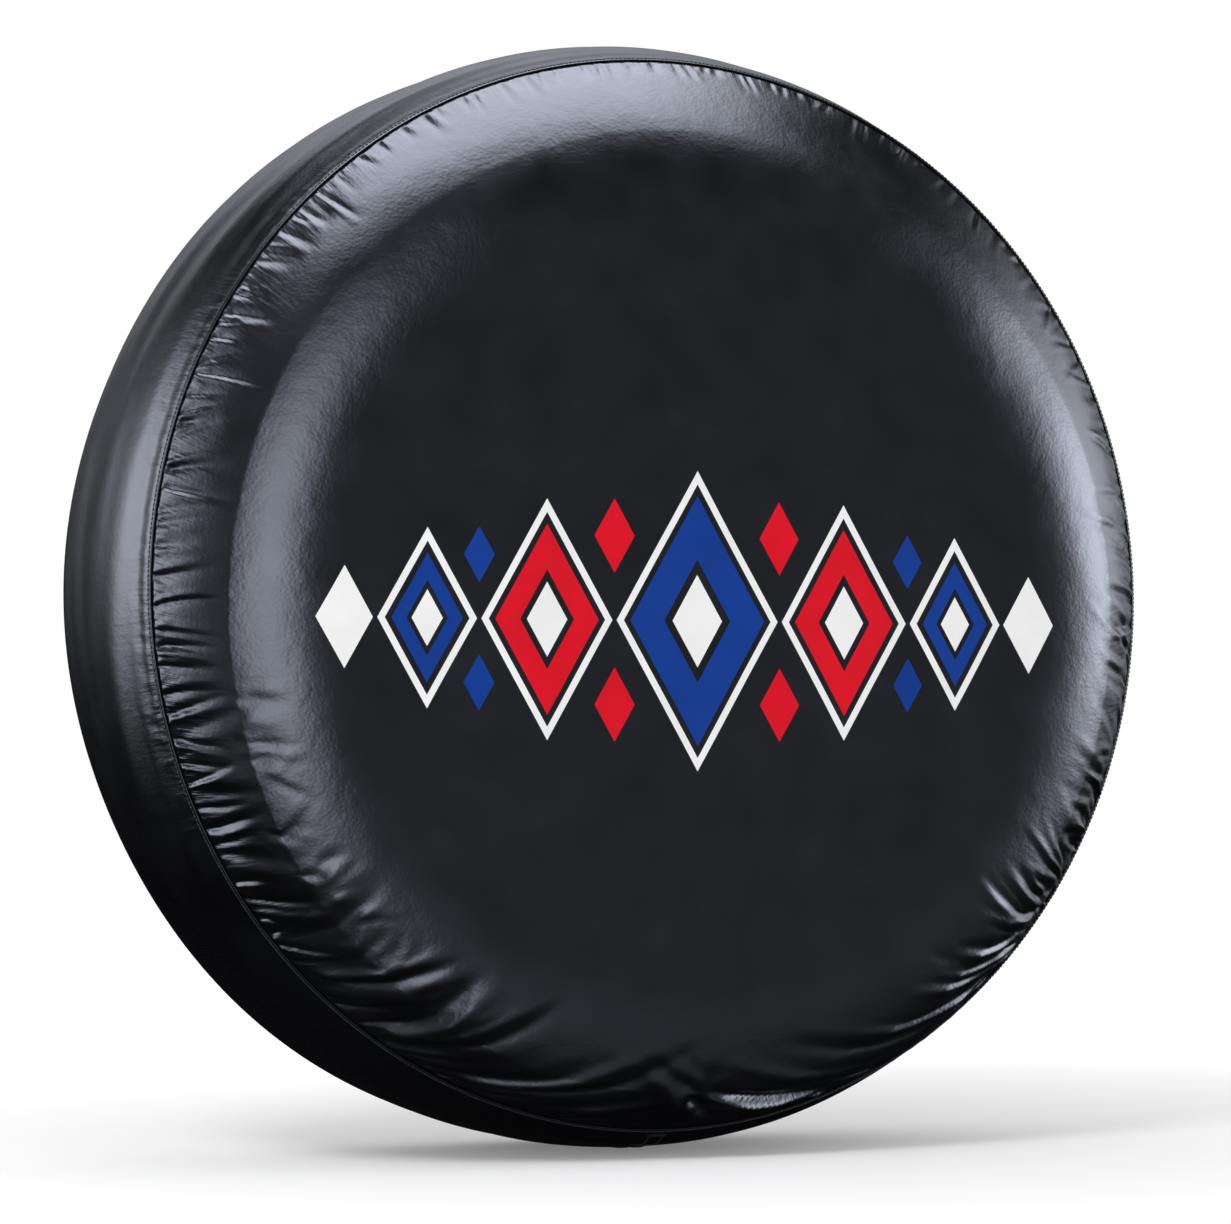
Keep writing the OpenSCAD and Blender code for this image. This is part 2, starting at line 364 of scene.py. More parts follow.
@dataclass(frozen=True)
class ZincCrimp(Finish):
    """Zinc-plated steel sleeve, pressed over the cord: a grey metal, duller in small patches."""

    colour: str = "#B4B6B8"
    shade: str = "#999B9E"
    mottle: float = 3.0
    patch: float = 1.2

    def surface(self, tree: Tree, place: Socket) -> dict[str, object]:
        """Adds metal and gloss.

        Args:
            tree: The material's node tree.
            place: The piece's own coordinates, in metres.

        Returns:
            What goes into the Principled shader's inputs, by their names.
        """
        patches = {"Vector": place, "Scale": per(self.patch), "Detail": 3.0}
        patches = add_node(tree, "ShaderNodeTexNoise", patches)
        gloss = {"Value": patches, "From Min": 0.3, "From Max": 0.7, "To Min": 0.28, "To Max": 0.45}
        return {"Metallic": 1.0, "Roughness": add_node(tree, "ShaderNodeMapRange", gloss)}


@dataclass(frozen=True)
class SatinRibbon(Finish):
    """White woven satin ribbon: a soft sheen along its fine threads."""

    colour: str = "#EDEDE8"
    shade: str = "#DDDDD6"
    mottle: float = 12.0
    # The weave is 0.3 mm; it is drawn at about 1.6 mm, so that it shows.
    weave: float = 1.5783

    def surface(self, tree: Tree, place: Socket) -> dict[str, object]:
        """Adds sheen and weave.

        Args:
            tree: The material's node tree.
            place: The piece's own coordinates, in metres.

        Returns:
            What goes into the Principled shader's inputs, by their names.
        """
        # A wave texture's bands lie a twentieth of a turn apart.
        wave = {"Vector": place, "Scale": per(self.weave) * TURN / 20, "Distortion": 0.6}
        weave = add_node(tree, "ShaderNodeTexWave", wave, bands_direction="Z").outputs["Fac"]
        bumps = {"Strength": 0.4, "Distance": 0.1 * MM, "Height": weave}
        return {
            "Roughness": 0.45,
            "Sheen Weight": 0.2,
            "Normal": add_node(tree, "ShaderNodeBump", bumps),
        }


@dataclass(frozen=True)
class ScreenInk(Finish):
    """Screen-printed vinyl ink: an even, opaque coat with a satin gloss that keeps a trace of the grain."""

    mottle: float = 40.0
    flow: float = 18.0
    grain: float = 1.6

    def surface(self, tree: Tree, place: Socket) -> dict[str, object]:
        """Adds gloss and the grain that shows through.

        Args:
            tree: The material's node tree.
            place: The piece's own coordinates, in metres.

        Returns:
            What goes into the Principled shader's inputs, by their names.
        """
        flow = {"Vector": place, "Scale": per(self.flow), "Detail": 4.0}
        flow = add_node(tree, "ShaderNodeTexNoise", flow)
        gloss = {"Value": flow, "From Min": 0.3, "From Max": 0.7, "To Min": 0.42, "To Max": 0.52}
        grain = {"Vector": place, "Scale": per(self.grain), "Detail": 2.0}
        grain = add_node(tree, "ShaderNodeTexNoise", grain)
        bumps = {"Strength": 0.25, "Distance": 0.05 * MM, "Height": grain}
        return {
            "Roughness": add_node(tree, "ShaderNodeMapRange", gloss),
            "IOR": 1.48,
            "Specular IOR Level": 0.12,
            "Normal": add_node(tree, "ShaderNodeBump", bumps),
        }


# ---- The smooth shape that the cloth is stretched over ----


@dataclass(frozen=True)
class CoverShape:
    """The cover's smooth outline, as in the CAD source.

    An outline point is its radius and place along Y, with the outward normal's two parts.
    """

    cover_r: float = 369.6
    seat_front: float = 2.0
    seat_back: float = 62.0
    rear_r: float = 50.0
    seam_r: float = 352.0
    seam_depth: float = 68.0
    face_depth: float = 122.0
    flat_r: float = 246.0
    sidewall_r: float = 160.0
    crease_r: float = 314.3
    hem_r: float = 252.0
    relief_drop: float = 13.0
    bulge_r: float = 130.0
    seam_tilt: float = math.radians(58)
    crease_tilt: float = math.radians(34)
    return_start: float = math.radians(70)

    @property
    def front_arc(self) -> tuple[float, float]:
        """Gives the arc that the band makes in front of the tire's seat.

        Returns:
            Its radius, and the angle at which it meets the seam.
        """
        rise = self.cover_r - self.seam_r
        radius = (rise**2 + (self.seam_depth + self.seat_front) ** 2) / (2 * rise)
        return radius, -math.acos((self.seam_r - self.cover_r + radius) / radius)

    @property
    def return_arc(self) -> tuple[float, float]:
        """Gives the arc of the rear return.

        Returns:
            Its radius, and its centre's place along Y.
        """
        edge = self.cover_r - self.rear_r + self.rear_r * math.cos(self.return_start)
        radius = (edge - self.hem_r) / math.cos(self.return_start)
        return radius, self.seat_back + (self.rear_r - radius) * math.sin(self.return_start)

    @property
    def stations(self) -> tuple[float, float, float, float]:
        """Gives where the zones of the band and the return begin.

        Returns:
            Distances back from the seam of the seat, the rear shoulder, the return and the hem.
        """
        front_r, seam_a = self.front_arc
        seat = -front_r * seam_a
        shoulder = seat + self.seat_back - self.seat_front
        back = shoulder + self.rear_r * self.return_start
        return seat, shoulder, back, back + self.return_arc[0] * (math.pi / 2 - self.return_start)

    @property
    def hem_y(self) -> float:
        """Place of the hem along Y."""
        return sum(self.return_arc)

    @property
    def wall_tilt(self) -> float:
        """Tilt of the face's sidewall arc where it meets the crease."""
        return math.asin((self.crease_r - self.flat_r) / self.sidewall_r)

    @property
    def crease_depth(self) -> float:
        """Distance from the seam to the crease, along the face."""
        return self.bulge_r * (self.seam_tilt - self.crease_tilt)

    @property
    def flat_from(self) -> float:
        """Distance from the seam to the flat middle, along the face."""
        return self.crease_depth + self.sidewall_r * self.wall_tilt

    def side(self, back: Array) -> tuple[Array, Array, Array, Array]:
        """Gives the outline over the band, the return and the hem.

        Args:
            back: Distances back from the seam.

        Returns:
            Radius, place along Y, and the outward normal's parts along both.
        """
        front_r, seam_a = self.front_arc
        return_r, return_y = self.return_arc
        seat, shoulder, start, hem = self.stations
        zones = [back < seat, back < shoulder, back < start, back < hem]
        rear_tilt = (back - shoulder) / self.rear_r
        return_tilt = self.return_start + (back - start) / return_r
        tilt = np.select(zones, [seam_a + back / front_r, 0 * back, rear_tilt, return_tilt], math.pi / 2)
        radius = np.select(
            zones,
            [
                self.cover_r - front_r + front_r * np.cos(tilt),
                self.cover_r + 0 * back,
                self.cover_r - self.rear_r + self.rear_r * np.cos(tilt),
                self.hem_r + return_r * np.cos(tilt),
            ],
            self.hem_r - (back - hem),
        )
        y = np.select(
            zones,
            [
                self.seat_front + front_r * np.sin(tilt),
                self.seat_front + back - seat,
                self.seat_back + self.rear_r * np.sin(tilt),
                return_y + return_r * np.sin(tilt),
            ],
            self.hem_y,
        )
        return radius, y, np.cos(tilt), np.sin(tilt)

    def face(self, depth: Array) -> tuple[Array, Array, Array, Array]:
        """Gives the outline over the face, and its margin under the band's edge.

        Args:
            depth: Distances inwards from the seam; negative ones lie under the band.

        Returns:
            Radius, place along Y, and the outward normal's parts along both.
        """
        margin = depth < 0
        under_r, under_y, under_nr, under_ny = self.side(np.abs(depth))
        shoulder = depth < self.crease_depth
        share = np.clip(depth / self.crease_depth, 0, 1)
        tilt = np.select(
            [shoulder, depth < self.flat_from],
            [
                self.seam_tilt - share * (self.seam_tilt - self.crease_tilt),
                self.wall_tilt - (depth - self.crease_depth) / self.sidewall_r,
            ],
            0.0,
        )
        crease_y = -self.face_depth + self.sidewall_r * (1 - math.cos(self.wall_tilt))
        # What the bulge's arc leaves between the seam and the crease is spread over its length.
        spread = self.bulge_r * (math.sin(self.seam_tilt) - math.sin(self.crease_tilt))
        left_r = self.seam_r - self.crease_r - spread
        rise = self.bulge_r * (math.cos(self.crease_tilt) - math.cos(self.seam_tilt))
        left_y = -self.seam_depth - crease_y - rise
        bulge_x = self.bulge_r * (np.sin(tilt) - math.sin(self.crease_tilt))
        bulge_y = self.bulge_r * (math.cos(self.crease_tilt) - np.cos(tilt))
        radius = np.select(
            [shoulder, depth < self.flat_from],
            [
                self.crease_r + bulge_x + (1 - share) * left_r,
                self.flat_r + self.sidewall_r * np.sin(tilt),
            ],
            np.maximum(self.flat_r - (depth - self.flat_from), 0),
        )
        y = np.select(
            [shoulder, depth < self.flat_from],
            [
                crease_y + bulge_y + (1 - share) * left_y,
                -self.face_depth + self.sidewall_r * (1 - np.cos(tilt)),
            ],
            -self.face_depth,
        )
        return (
            np.where(margin, under_r, radius),
            np.where(margin, under_y, y),
            np.where(margin, under_nr, np.sin(tilt)),
            np.where(margin, under_ny, -np.cos(tilt)),
        )

    def drop(self, depth: Array) -> Array:
        """Tells how far the face's rings sit below the axis.

        Args:
            depth: Distances inwards from the seam.

        Returns:
            The drops.
        """
        return self.relief_drop * np.clip(depth / self.crease_depth, 0, 1)


SHAPE = CoverShape()


# ---- Folds ----


@dataclass(frozen=True)
class Fold:
    """One fold of cloth that starts near a seam and fades.

    Sizes are in millimetres: lean is how far it moves along the seam for each millimetre away from it, and
    lopsided, from -1 to 1, is the side on which it has a hollow beside it. A fold of negative height is a
    crease, sharper than a ridge, with its swelling beside it.
    """

    angle: float
    start: float
    length: float
    height: float
    half_width: float
    lean: float = 0.0
    curl: float = 0.0
    lopsided: float = 0.0
    rise: float = 2.5
    widening: float = 0.8


class FoldMap:
    """Heights of the folds over a belt of cloth that runs round the cover."""

    # Where a fold starts, it has this share of its half width.
    NARROW = 0.75
    # Powers that round the top of a ridge and the bottom of a crease.
    RIDGE, CREASE = 1.7, 1.3
    # In half widths: where the hollow beside a fold lies, how wide it is, and how far out a fold is drawn.
    HOLLOW_AT, HOLLOW_SPREAD, DRAWN = 1.6, 0.55, 3.2

    def __init__(
        self, low: float, high: float, radii: Array | None = None, step: float = 1.0, columns: int = 2400
    ) -> None:
        """Makes a smooth belt.

        Args:
            low: Distance from the seam at which the belt starts.
            high: Distance at which it ends.
            radii: Radius of the belt's rows; the seam's without it.
            step: Distance between rows.
            columns: Steps round the axis.
        """
        self.rows = np.arange(low, high + step, step)
        self.step = step
        self.columns = columns
        self.radii = np.full(len(self.rows), SHAPE.seam_r) if radii is None else radii
        self.heights = np.zeros((len(self.rows), columns))

    def add(self, fold: Fold) -> None:
        """Adds one fold.

        Args:
            fold: The fold.
        """
        rows = np.nonzero((self.rows >= fold.start) & (self.rows <= fold.start + fold.length))[0]
        if not len(rows):
            return
        run = self.rows[rows] - fold.start
        share = run / fold.length
        radii = self.radii[rows]
        centre = fold.angle + (fold.lean * run + fold.curl * run**2) / radii
        width = fold.half_width * (self.NARROW + fold.widening * share)
        fade = (1 - np.exp(-(run + 0.4) / fold.rise)) * (1 - share**2) ** 1.4
        pitch = TURN / self.columns
        reach = self.DRAWN * (width / radii).max()
        first, last = math.floor((centre.min() - reach) / pitch), math.ceil((centre.max() + reach) / pitch)
        columns = np.arange(first, last + 1)
        across = (columns[None, :] * pitch - centre[:, None]) * (radii / width)[:, None]
        ridge = np.exp(-np.abs(across) ** (self.RIDGE if fold.height > 0 else self.CREASE))
        beside = across - self.HOLLOW_AT * np.sign(fold.lopsided)
        hollow = abs(fold.lopsided) * np.exp(-(beside**2) / self.HOLLOW_SPREAD)
        self.heights[np.ix_(rows, columns % self.columns)] += fold.height * fade[:, None] * (ridge - hollow)

    def at(self, angle: Array, distance: Array) -> Array:
        """Reads heights between the map's points.

        Args:
            angle: Angles round the axis.
            distance: Distances from the seam, of the same shape.

        Returns:
            The heights there; beyond the belt, those of its edge.
        """
        column = np.mod(np.asarray(angle, float), TURN) / TURN * self.columns
        row = np.clip((np.asarray(distance, float) - self.rows[0]) / self.step, 0, len(self.rows) - 1.001)
        c0, r0 = np.floor(column).astype(int), np.floor(row).astype(int)
        u, v = column - c0, row - r0
        c0, c1 = c0 % self.columns, (c0 + 1) % self.columns
        low = self.heights[r0, c0] * (1 - u) + self.heights[r0, c1] * u
        high = self.heights[r0 + 1, c0] * (1 - u) + self.heights[r0 + 1, c1] * u
        return low * (1 - v) + high * v

    def lowered(self, rows: int = 3, columns: int = 6) -> "FoldMap":
        """Makes the map of a lining that stays behind this one.

        Args:
            rows: How many rows to each side the lowest height is taken from.
            columns: The same round the axis.

        Returns:
            The lining's map.
        """
        made = FoldMap(self.rows[0], self.rows[-1] - self.step, self.radii, self.step, self.columns)
        lowest = self.heights.copy()
        for shift in range(-columns, columns + 1):
            lowest = np.minimum(lowest, np.roll(self.heights, shift, 1))
        made.heights = lowest.copy()
        for shift in range(1, rows + 1):
            made.heights[shift:] = np.minimum(made.heights[shift:], lowest[:-shift])
            made.heights[:-shift] = np.minimum(made.heights[:-shift], lowest[shift:])
        return made


def around(stops: dict[int, float], angle: Array) -> Array:
    """Runs smoothly through values given at some angles.

    Args:
        stops: Values by angle in degrees, from -180 to 180.
        angle: Angles to read, in radians.

    Returns:
        The values there.
    """
    return np.interp(np.degrees(np.asarray(angle)), list(stops), list(stops.values()), period=360)


@dataclass
class Gathers:
    """Every fold in the cover's cloth: gathers at the front seam, tension folds, and pleats at the hem.

    Strength, reach and lean of the gathers are given by angle in degrees, and so is how far the tire's crease
    is pulled flat. The crease's half width is in millimetres.
    """

    seed: int = 7
    strength: dict[int, float] = field(
        default_factory=lambda: {
            -180: 0.85, -165: 1.15, -152: 0.9, -135: 0.72, -115: 0.8, -90: 0.6, -70: 0.9, -50: 1.1, -35: 1.1,
            -15: 0.9, 10: 0.7, 30: 0.5, 60: 0.4, 80: 0.34, 100: 0.36, 120: 0.52, 135: 0.68, 150: 0.66,
            165: 0.78,
        }
    )
    reach: dict[int, float] = field(
        default_factory=lambda: {
            -180: 32, -165: 34, -130: 30, -110: 22, -90: 16, -60: 30, -40: 40, -15: 36, 15: 30, 45: 16, 90: 9,
            120: 14, 140: 21, 160: 27,
        }
    )
    lean: dict[int, float] = field(
        default_factory=lambda: {
            -180: -0.22, -167: -0.3, -160: -0.12, -150: 0.0, -140: 0.1, -130: 0.6, -120: 1.5, -105: 2.0,
            -95: 1.0, -88: -0.5, -75: -2.2, -60: -2.8, -50: -2.2, -44: -1.2, -38: -0.2, -30: 0.2,
            0: 0.55, 30: 0.5, 60: 0.3, 100: 0.0, 125: -0.1, 150: -0.4, 166: -0.6, 172: -0.3,
        }
    )
    crinkles: int = 64
    band_waves: int = 30
    face_waves: int = 22
    crease_w: float = 13.0
    crease_rounding: dict[int, float] = field(
        default_factory=lambda: {
            -180: 0, -155: 0.1, -138: 0.7, -120: 1, -45: 1, -15: 0.6, 15: 0.3, 45: 0, 180: 0,
        }
    )

    def __post_init__(self) -> None:
        """Draws all the folds, once."""
        self.dice = np.random.default_rng(self.seed)
        self.face = FoldMap(-6, 190)
        self.band = FoldMap(0, 300, self._side_radii())
        self._seam_gathers(spacing=6.4, height=(0.4, 1.0), half_width=(1.8, 2.8), reach=(0.2, 0.6))
        self._seam_gathers(spacing=13.0, height=(-2.7, -1.0), half_width=(1.9, 3.2), reach=(0.9, 2.1))
        self._long_folds()
        self._crinkles()
        self._band_puckers()
        self._hem_pleats()

    def _side_radii(self) -> Array:
        """Gives the radii of the band map's rows."""
        return SHAPE.side(np.arange(0.0, 301.0))[0]

    def _either(self, low: float, high: float) -> float:
        """Draws a side, and how strongly something leans to it.

        Args:
            low: Least strength.
            high: Most strength.

        Returns:
            The strength, negative for the one side.
        """
        return self.dice.choice([-1, 1]) * self.dice.uniform(low, high)

    def _seam_gathers(
        self,
        spacing: float,
        height: tuple[float, float],
        half_width: tuple[float, float],
        reach: tuple[float, float],
    ) -> None:
        """Adds one size of the gathers that the seam draws in all round the face.

        Args:
            spacing: Mean distance between two gathers.
            height: Range of their heights, as a share of the strength there.
            half_width: Range of their half widths.
            reach: Range of their lengths, as a share of the reach there.
        """
        dice = self.dice
        angle = 0.0
        while angle < TURN:
            lean = float(around(self.lean, angle)) + dice.normal(0, 0.16)
            slant = math.hypot(1, lean)
            self.face.add(
                Fold(
                    angle=angle,
                    start=dice.uniform(-0.5, 0.8),
                    length=max(float(around(self.reach, angle)) * dice.uniform(*reach) / slant**0.6, 5),
                    height=float(around(self.strength, angle)) * dice.uniform(*height),
                    half_width=dice.uniform(*half_width) * slant,
                    lean=lean,
                    curl=dice.normal(0, 0.0015),
                    lopsided=self._either(0.35, 0.8),
                    rise=dice.uniform(1.0, 2.4),
                )
            )
            angle += spacing * dice.uniform(0.45, 1.6) / SHAPE.seam_r

    def _long_folds(self) -> None:
        """Adds the long tension folds that lean down towards the lowest point."""
        dice = self.dice
        # By zone: its two angles, how many folds, the highest one, the half width, their starts and lengths.
        zones = [
            (-166, -142, 5, 2.4, 4.8, (0, 5), (50, 72)),
            (-142, -110, 8, 4.6, 6.4, (0, 14), (80, 130)),
            (-110, -82, 7, 3.2, 5.2, (0, 16), (48, 90)),
            (-82, -52, 18, 3.0, 4.2, (0, 32), (56, 108)),
            (-52, -26, 22, 3.1, 3.4, (2, 34), (40, 86)),
            (-26, 14, 20, 1.5, 3.4, (4, 34), (30, 66)),
        ]
        for low, high, count, most, half_width, start, reach in zones:
            for k in range(count):
                angle = math.radians(low + (high - low) * (k + dice.uniform(0.15, 0.85)) / count)
                lean = float(around(self.lean, angle)) + dice.normal(0, 0.15)
                slant = math.hypot(1, lean)
                self.face.add(
                    Fold(
                        angle=angle,
                        start=dice.uniform(*start),
                        length=dice.uniform(*reach) / slant**0.35,
                        height=most * dice.uniform(0.45, 1.0) * dice.choice([-1, 1]),
                        half_width=half_width * dice.uniform(0.75, 1.25) * slant,
                        lean=lean,
                        curl=dice.normal(0, 0.002),
                        lopsided=self._either(0.4, 0.8),
                        rise=dice.uniform(5, 10),
                        widening=0.7,
                    )
                )

    def _crinkles(self) -> None:
        """Adds the fine crinkles inside the crease, low on the left."""
        dice = self.dice
        for _ in range(self.crinkles):
            self.face.add(
                Fold(
                    angle=math.radians(dice.uniform(190, 240)),
                    start=dice.uniform(44, 66),
                    length=dice.uniform(16, 36),
                    height=dice.uniform(0.4, 1.2) * dice.choice([-1, 1]),
                    half_width=dice.uniform(3.2, 5.6),
                    lean=dice.normal(0.25, 0.45),
                    lopsided=dice.choice([-1, 1]) * 0.5,
                    rise=6,
                )
            )

    def _band_puckers(self) -> None:
        """Adds the small puckers of the band behind the seam, and the long soft waves over the tread."""
        dice = self.dice
        angle = 0.0
        while angle < TURN:
            size = 0.3 + 0.5 * float(around(self.strength, angle))
            self.band.add(
                Fold(
                    angle=angle,
                    start=dice.uniform(0, 3),
                    length=dice.uniform(8, 26),
                    height=size * dice.uniform(0.2, 0.65),
                    half_width=dice.uniform(2.4, 5.0),
                    lean=dice.normal(0, 0.3),
                    lopsided=dice.choice([-1, 1]) * 0.4,
                    rise=3.0,
                )
            )
            angle += dice.uniform(7, 15) / SHAPE.seam_r
        grid = self.band.rows[:, None]
        turn = np.arange(self.band.columns)[None, :] / self.band.columns * TURN
        wave = 0.0
        for _ in range(self.band_waves):
            length = dice.uniform(13, 70)
            high = 0.0042 * length * dice.uniform(0.3, 1.0)
            phase = grid * TURN / length + dice.integers(-7, 8) * turn + dice.uniform(0, TURN)
            wave = wave + high * np.cos(phase)
        # They fade over the first 14 mm behind the seam, and over 40 mm before the hem.
        self.band.heights += wave * np.clip(grid / 14, 0, 1) * np.clip((272 - grid) / 40, 0, 1)

    def _hem_pleats(self) -> None:
        """Adds the pleats that the elastic draws into the rear return, deepest close to the hem."""
        dice = self.dice
        hem = SHAPE.stations[3]
        end = hem + 6
        pleats = FoldMap(0, 140, SHAPE.side(end - np.arange(0.0, 141.0))[0])
        angle = 0.0
        while angle < TURN:
            pleats.add(
                Fold(
                    angle=angle,
                    start=dice.uniform(0, 6),
                    length=dice.uniform(45, 105),
                    height=dice.uniform(1.6, 3.6),
                    half_width=dice.uniform(4.2, 6.8),
                    lean=dice.normal(0, 0.16),
                    curl=dice.normal(0, 0.001),
                    lopsided=self._either(0.3, 0.7),
                    rise=dice.uniform(10, 18),
                    widening=1.6,
                )
            )
            angle += dice.uniform(15, 27) / SHAPE.hem_r
        rows = self.band.rows
        turn = np.arange(self.band.columns) / self.band.columns * TURN
        for row in np.nonzero(rows > hem - 130)[0]:
            self.band.heights[row] += pleats.at(turn, np.full(len(turn), end - rows[row]))

    def lining(self) -> "Gathers":
        """Makes the folds of the fleece, which stay behind those of the vinyl.

        Returns:
            The fleece's folds.
        """
        behind = copy(self)
        behind.face, behind.band = self.face.lowered(), self.band.lowered()
        return behind

    def relief(self, x: Array, z: Array, depth: Array) -> Array:
        """Gives the broad, soft unevenness of the stretched face.

        Args:
            x: Places along X.
            z: Places along Z.
            depth: Distances inwards from the seam.

        Returns:
            Heights, nought at the seam.
        """
        dice = np.random.default_rng(self.seed + 1)
        height = np.zeros_like(x)
        for _ in range(self.face_waves):
            length, way = dice.uniform(60, 210), dice.uniform(0, TURN)
            phase = (x * math.cos(way) + z * math.sin(way)) / length * TURN + dice.uniform(0, TURN)
            height = height + 0.0011 * length * dice.uniform(0.3, 1.0) * np.cos(phase)
        return height * np.clip(depth / 30, 0, 1)

    def face_height(self, angle: Array, depth: Array) -> Array:
        """Gives the face's height above the smooth shape.

        Args:
            angle: Angles round the axis.
            depth: Distances inwards from the seam, of the same shape.

        Returns:
            Heights; nothing rises where the band's edge lies on the face.
        """
        radius = SHAPE.face(depth)[0]
        broad = self.relief(radius * np.cos(angle), radius * np.sin(angle), depth)
        folds = self.face.at(angle, depth) * np.clip((185 - depth) / 20, 0, 1)
        # Where tension pulls the tire's crease flat, its kink turns into a curve of twice this width.
        kink = SHAPE.crease_tilt - SHAPE.wall_tilt
        share = np.clip(1 - np.abs(depth - SHAPE.crease_depth) / self.crease_w, 0, 1)
        broad = broad - around(self.crease_rounding, angle) * kink * self.crease_w / 4 * share**2
        under_band = np.minimum(folds, 0) * 0.3 - 0.05
        return broad + np.where(depth <= 0.3, under_band, folds * np.clip(depth / 2.0, 0.15, 1))


# ---- Meshes ----


def on_cover(
    radius: Array, y: Array, normal: tuple[Array, Array], height: Array, angle: Array, drop: Array
) -> Array:
    """Places points over the smooth outline.

    Args:
        radius: Radii of the outline points.
        y: Their places along Y.
        normal: The outward normal's parts along the radius and along Y.
        height: How far each point stands out.
        angle: Angles round the axis.
        drop: How far each point is lowered.

    Returns:
        The points in metres, with a last axis of three.
    """
    r = radius + height * normal[0]
    y = y + height * normal[1] + 0 * angle
    return np.stack([r * np.cos(angle), y, r * np.sin(angle) - drop], axis=-1) * MM


def ring_faces(counts: list[int], closed: bool = True) -> list[tuple[int, ...]]:
    """Joins rings of points, each with as many as the next one or half of them, outward side out.

    Args:
        counts: Number of points of each ring, from the innermost or foremost one.
        closed: Whether the rings run all the way round.

    Returns:
        The faces, as point numbers.
    """
    faces: list[tuple[int, ...]] = []
    start = 0
    for inner, outer in zip(counts, counts[1:]):
        after = start + inner
        steps = inner if closed else inner - 1
        if inner == outer:
            for i in range(steps):
                j = (i + 1) % inner
                faces.append((after + i, after + j, start + j, start + i))
        else:
            for i in range(steps):
                j = (i + 1) % inner
                faces.append((after + 2 * i, after + 2 * i + 1, start + i))
                faces.append((after + 2 * i + 1, after + (2 * i + 2) % outer, start + j, start + i))
        start = after
    return faces


def mesh_object(name: str, points: Array, faces: list, finish: Material, smooth: bool = True) -> Piece:
    """Makes an object whose place is in its mesh.

    Args:
        name: The piece's name.
        points: Its points in metres.
        faces: Its faces, as point numbers.
        finish: Its material.
        smooth: Whether it is shaded smooth.

    Returns:
        The object.
    """
    mesh = bpy.data.meshes.new(name)
    mesh.from_pydata([tuple(p) for p in np.asarray(points).reshape(-1, 3).tolist()], [], faces)
    mesh.materials.append(finish)
    if smooth:
        mesh.shade_smooth()
    mesh.validate()
    made = bpy.data.objects.new(name, mesh)
    bpy.context.scene.collection.objects.link(made)
    return made


def mark(piece: Piece, name: str, values: Array) -> None:
    """Stores a value for every point of a piece, for its material to read.

    Args:
        piece: The piece.
        name: The attribute's name.
        values: One number or one vector for each point.
    """
    kind = "FLOAT" if values.ndim == 1 else "FLOAT_VECTOR"
    attribute = piece.data.attributes.new(name, kind, "POINT")
    attribute.data.foreach_set("value" if kind == "FLOAT" else "vector", values.astype(np.float32).ravel())


def apply_modifier(piece: Piece, kind: str, **settings: object) -> None:
    """Adds a modifier and applies it.

    Args:
        piece: The piece.
        kind: The modifier's type.
        settings: Its properties.
    """
    bpy.ops.object.select_all(action="DESELECT")
    piece.select_set(True)
    bpy.context.view_layer.objects.active = piece
    modifier = piece.modifiers.new(kind.lower(), kind)
    for name, value in settings.items():
        setattr(modifier, name, value)
    bpy.ops.object.modifier_apply(modifier=modifier.name)


def pick(piece: Piece, test: Callable[[Vector], bool]) -> None:
    """Selects, in edit mode, the points that pass a test, with the edges and faces between them.

    Args:
        piece: The piece that is edited.
        test: Tells from a point's place whether it is wanted.
    """
    bpy.ops.mesh.select_all(action="DESELECT")
    shape = bmesh.from_edit_mesh(piece.data)
    for point in shape.verts:
        point.select = test(point.co)
    shape.select_flush(True)
    bmesh.update_edit_mesh(piece.data)


def one_stitch(length: float, radius: float) -> tuple[Array, list[tuple[int, ...]]]:
    """Models one stitch along X: a short bow of thread that tapers and dips into its two needle holes.

    Args:
        length: Length between the holes, in mm.
        radius: Radius of the thread, in mm.

    Returns:
        Its points in metres, and its faces as point numbers.
    """
    bpy.ops.object.select_all(action="DESELECT")
    bpy.ops.mesh.primitive_cylinder_add(
        vertices=6, radius=radius * MM, depth=length * MM, rotation=(0, math.pi / 2, 0)
    )
    bpy.ops.object.transform_apply(location=True, rotation=True, scale=True)
    thread = bpy.context.active_object
    bpy.ops.object.mode_set(mode="EDIT")
    # Cut across at the middle and towards both ends, so that it can bow.
    for place in (-0.36, 0.0, 0.36):
        bpy.ops.mesh.select_all(action="SELECT")
        bpy.ops.mesh.bisect(plane_co=(place * length * MM, 0, 0), plane_no=(1, 0, 0))
    # The points beyond a share of the half length: how thick they are there, and how far they dip, in radii.
    for beyond, thick, dip in ((0.7, 0.95, -0.12), (0.99, 0.58, -0.63)):
        for end in (-1, 1):
            pick(thread, lambda at: at.x * end > beyond * length * MM / 2 - 1e-6)
            bpy.ops.transform.resize(value=(1, thick, thick), center_override=(0, 0, 0))
            bpy.ops.transform.translate(value=(0, 0, dip * radius * MM))
    bpy.ops.object.mode_set(mode="OBJECT")
    points = np.empty(3 * len(thread.data.vertices))
    thread.data.vertices.foreach_get("co", points)
    faces = [tuple(face.vertices) for face in thread.data.polygons]
    bpy.data.objects.remove(thread)
    return points.reshape(-1, 3), faces


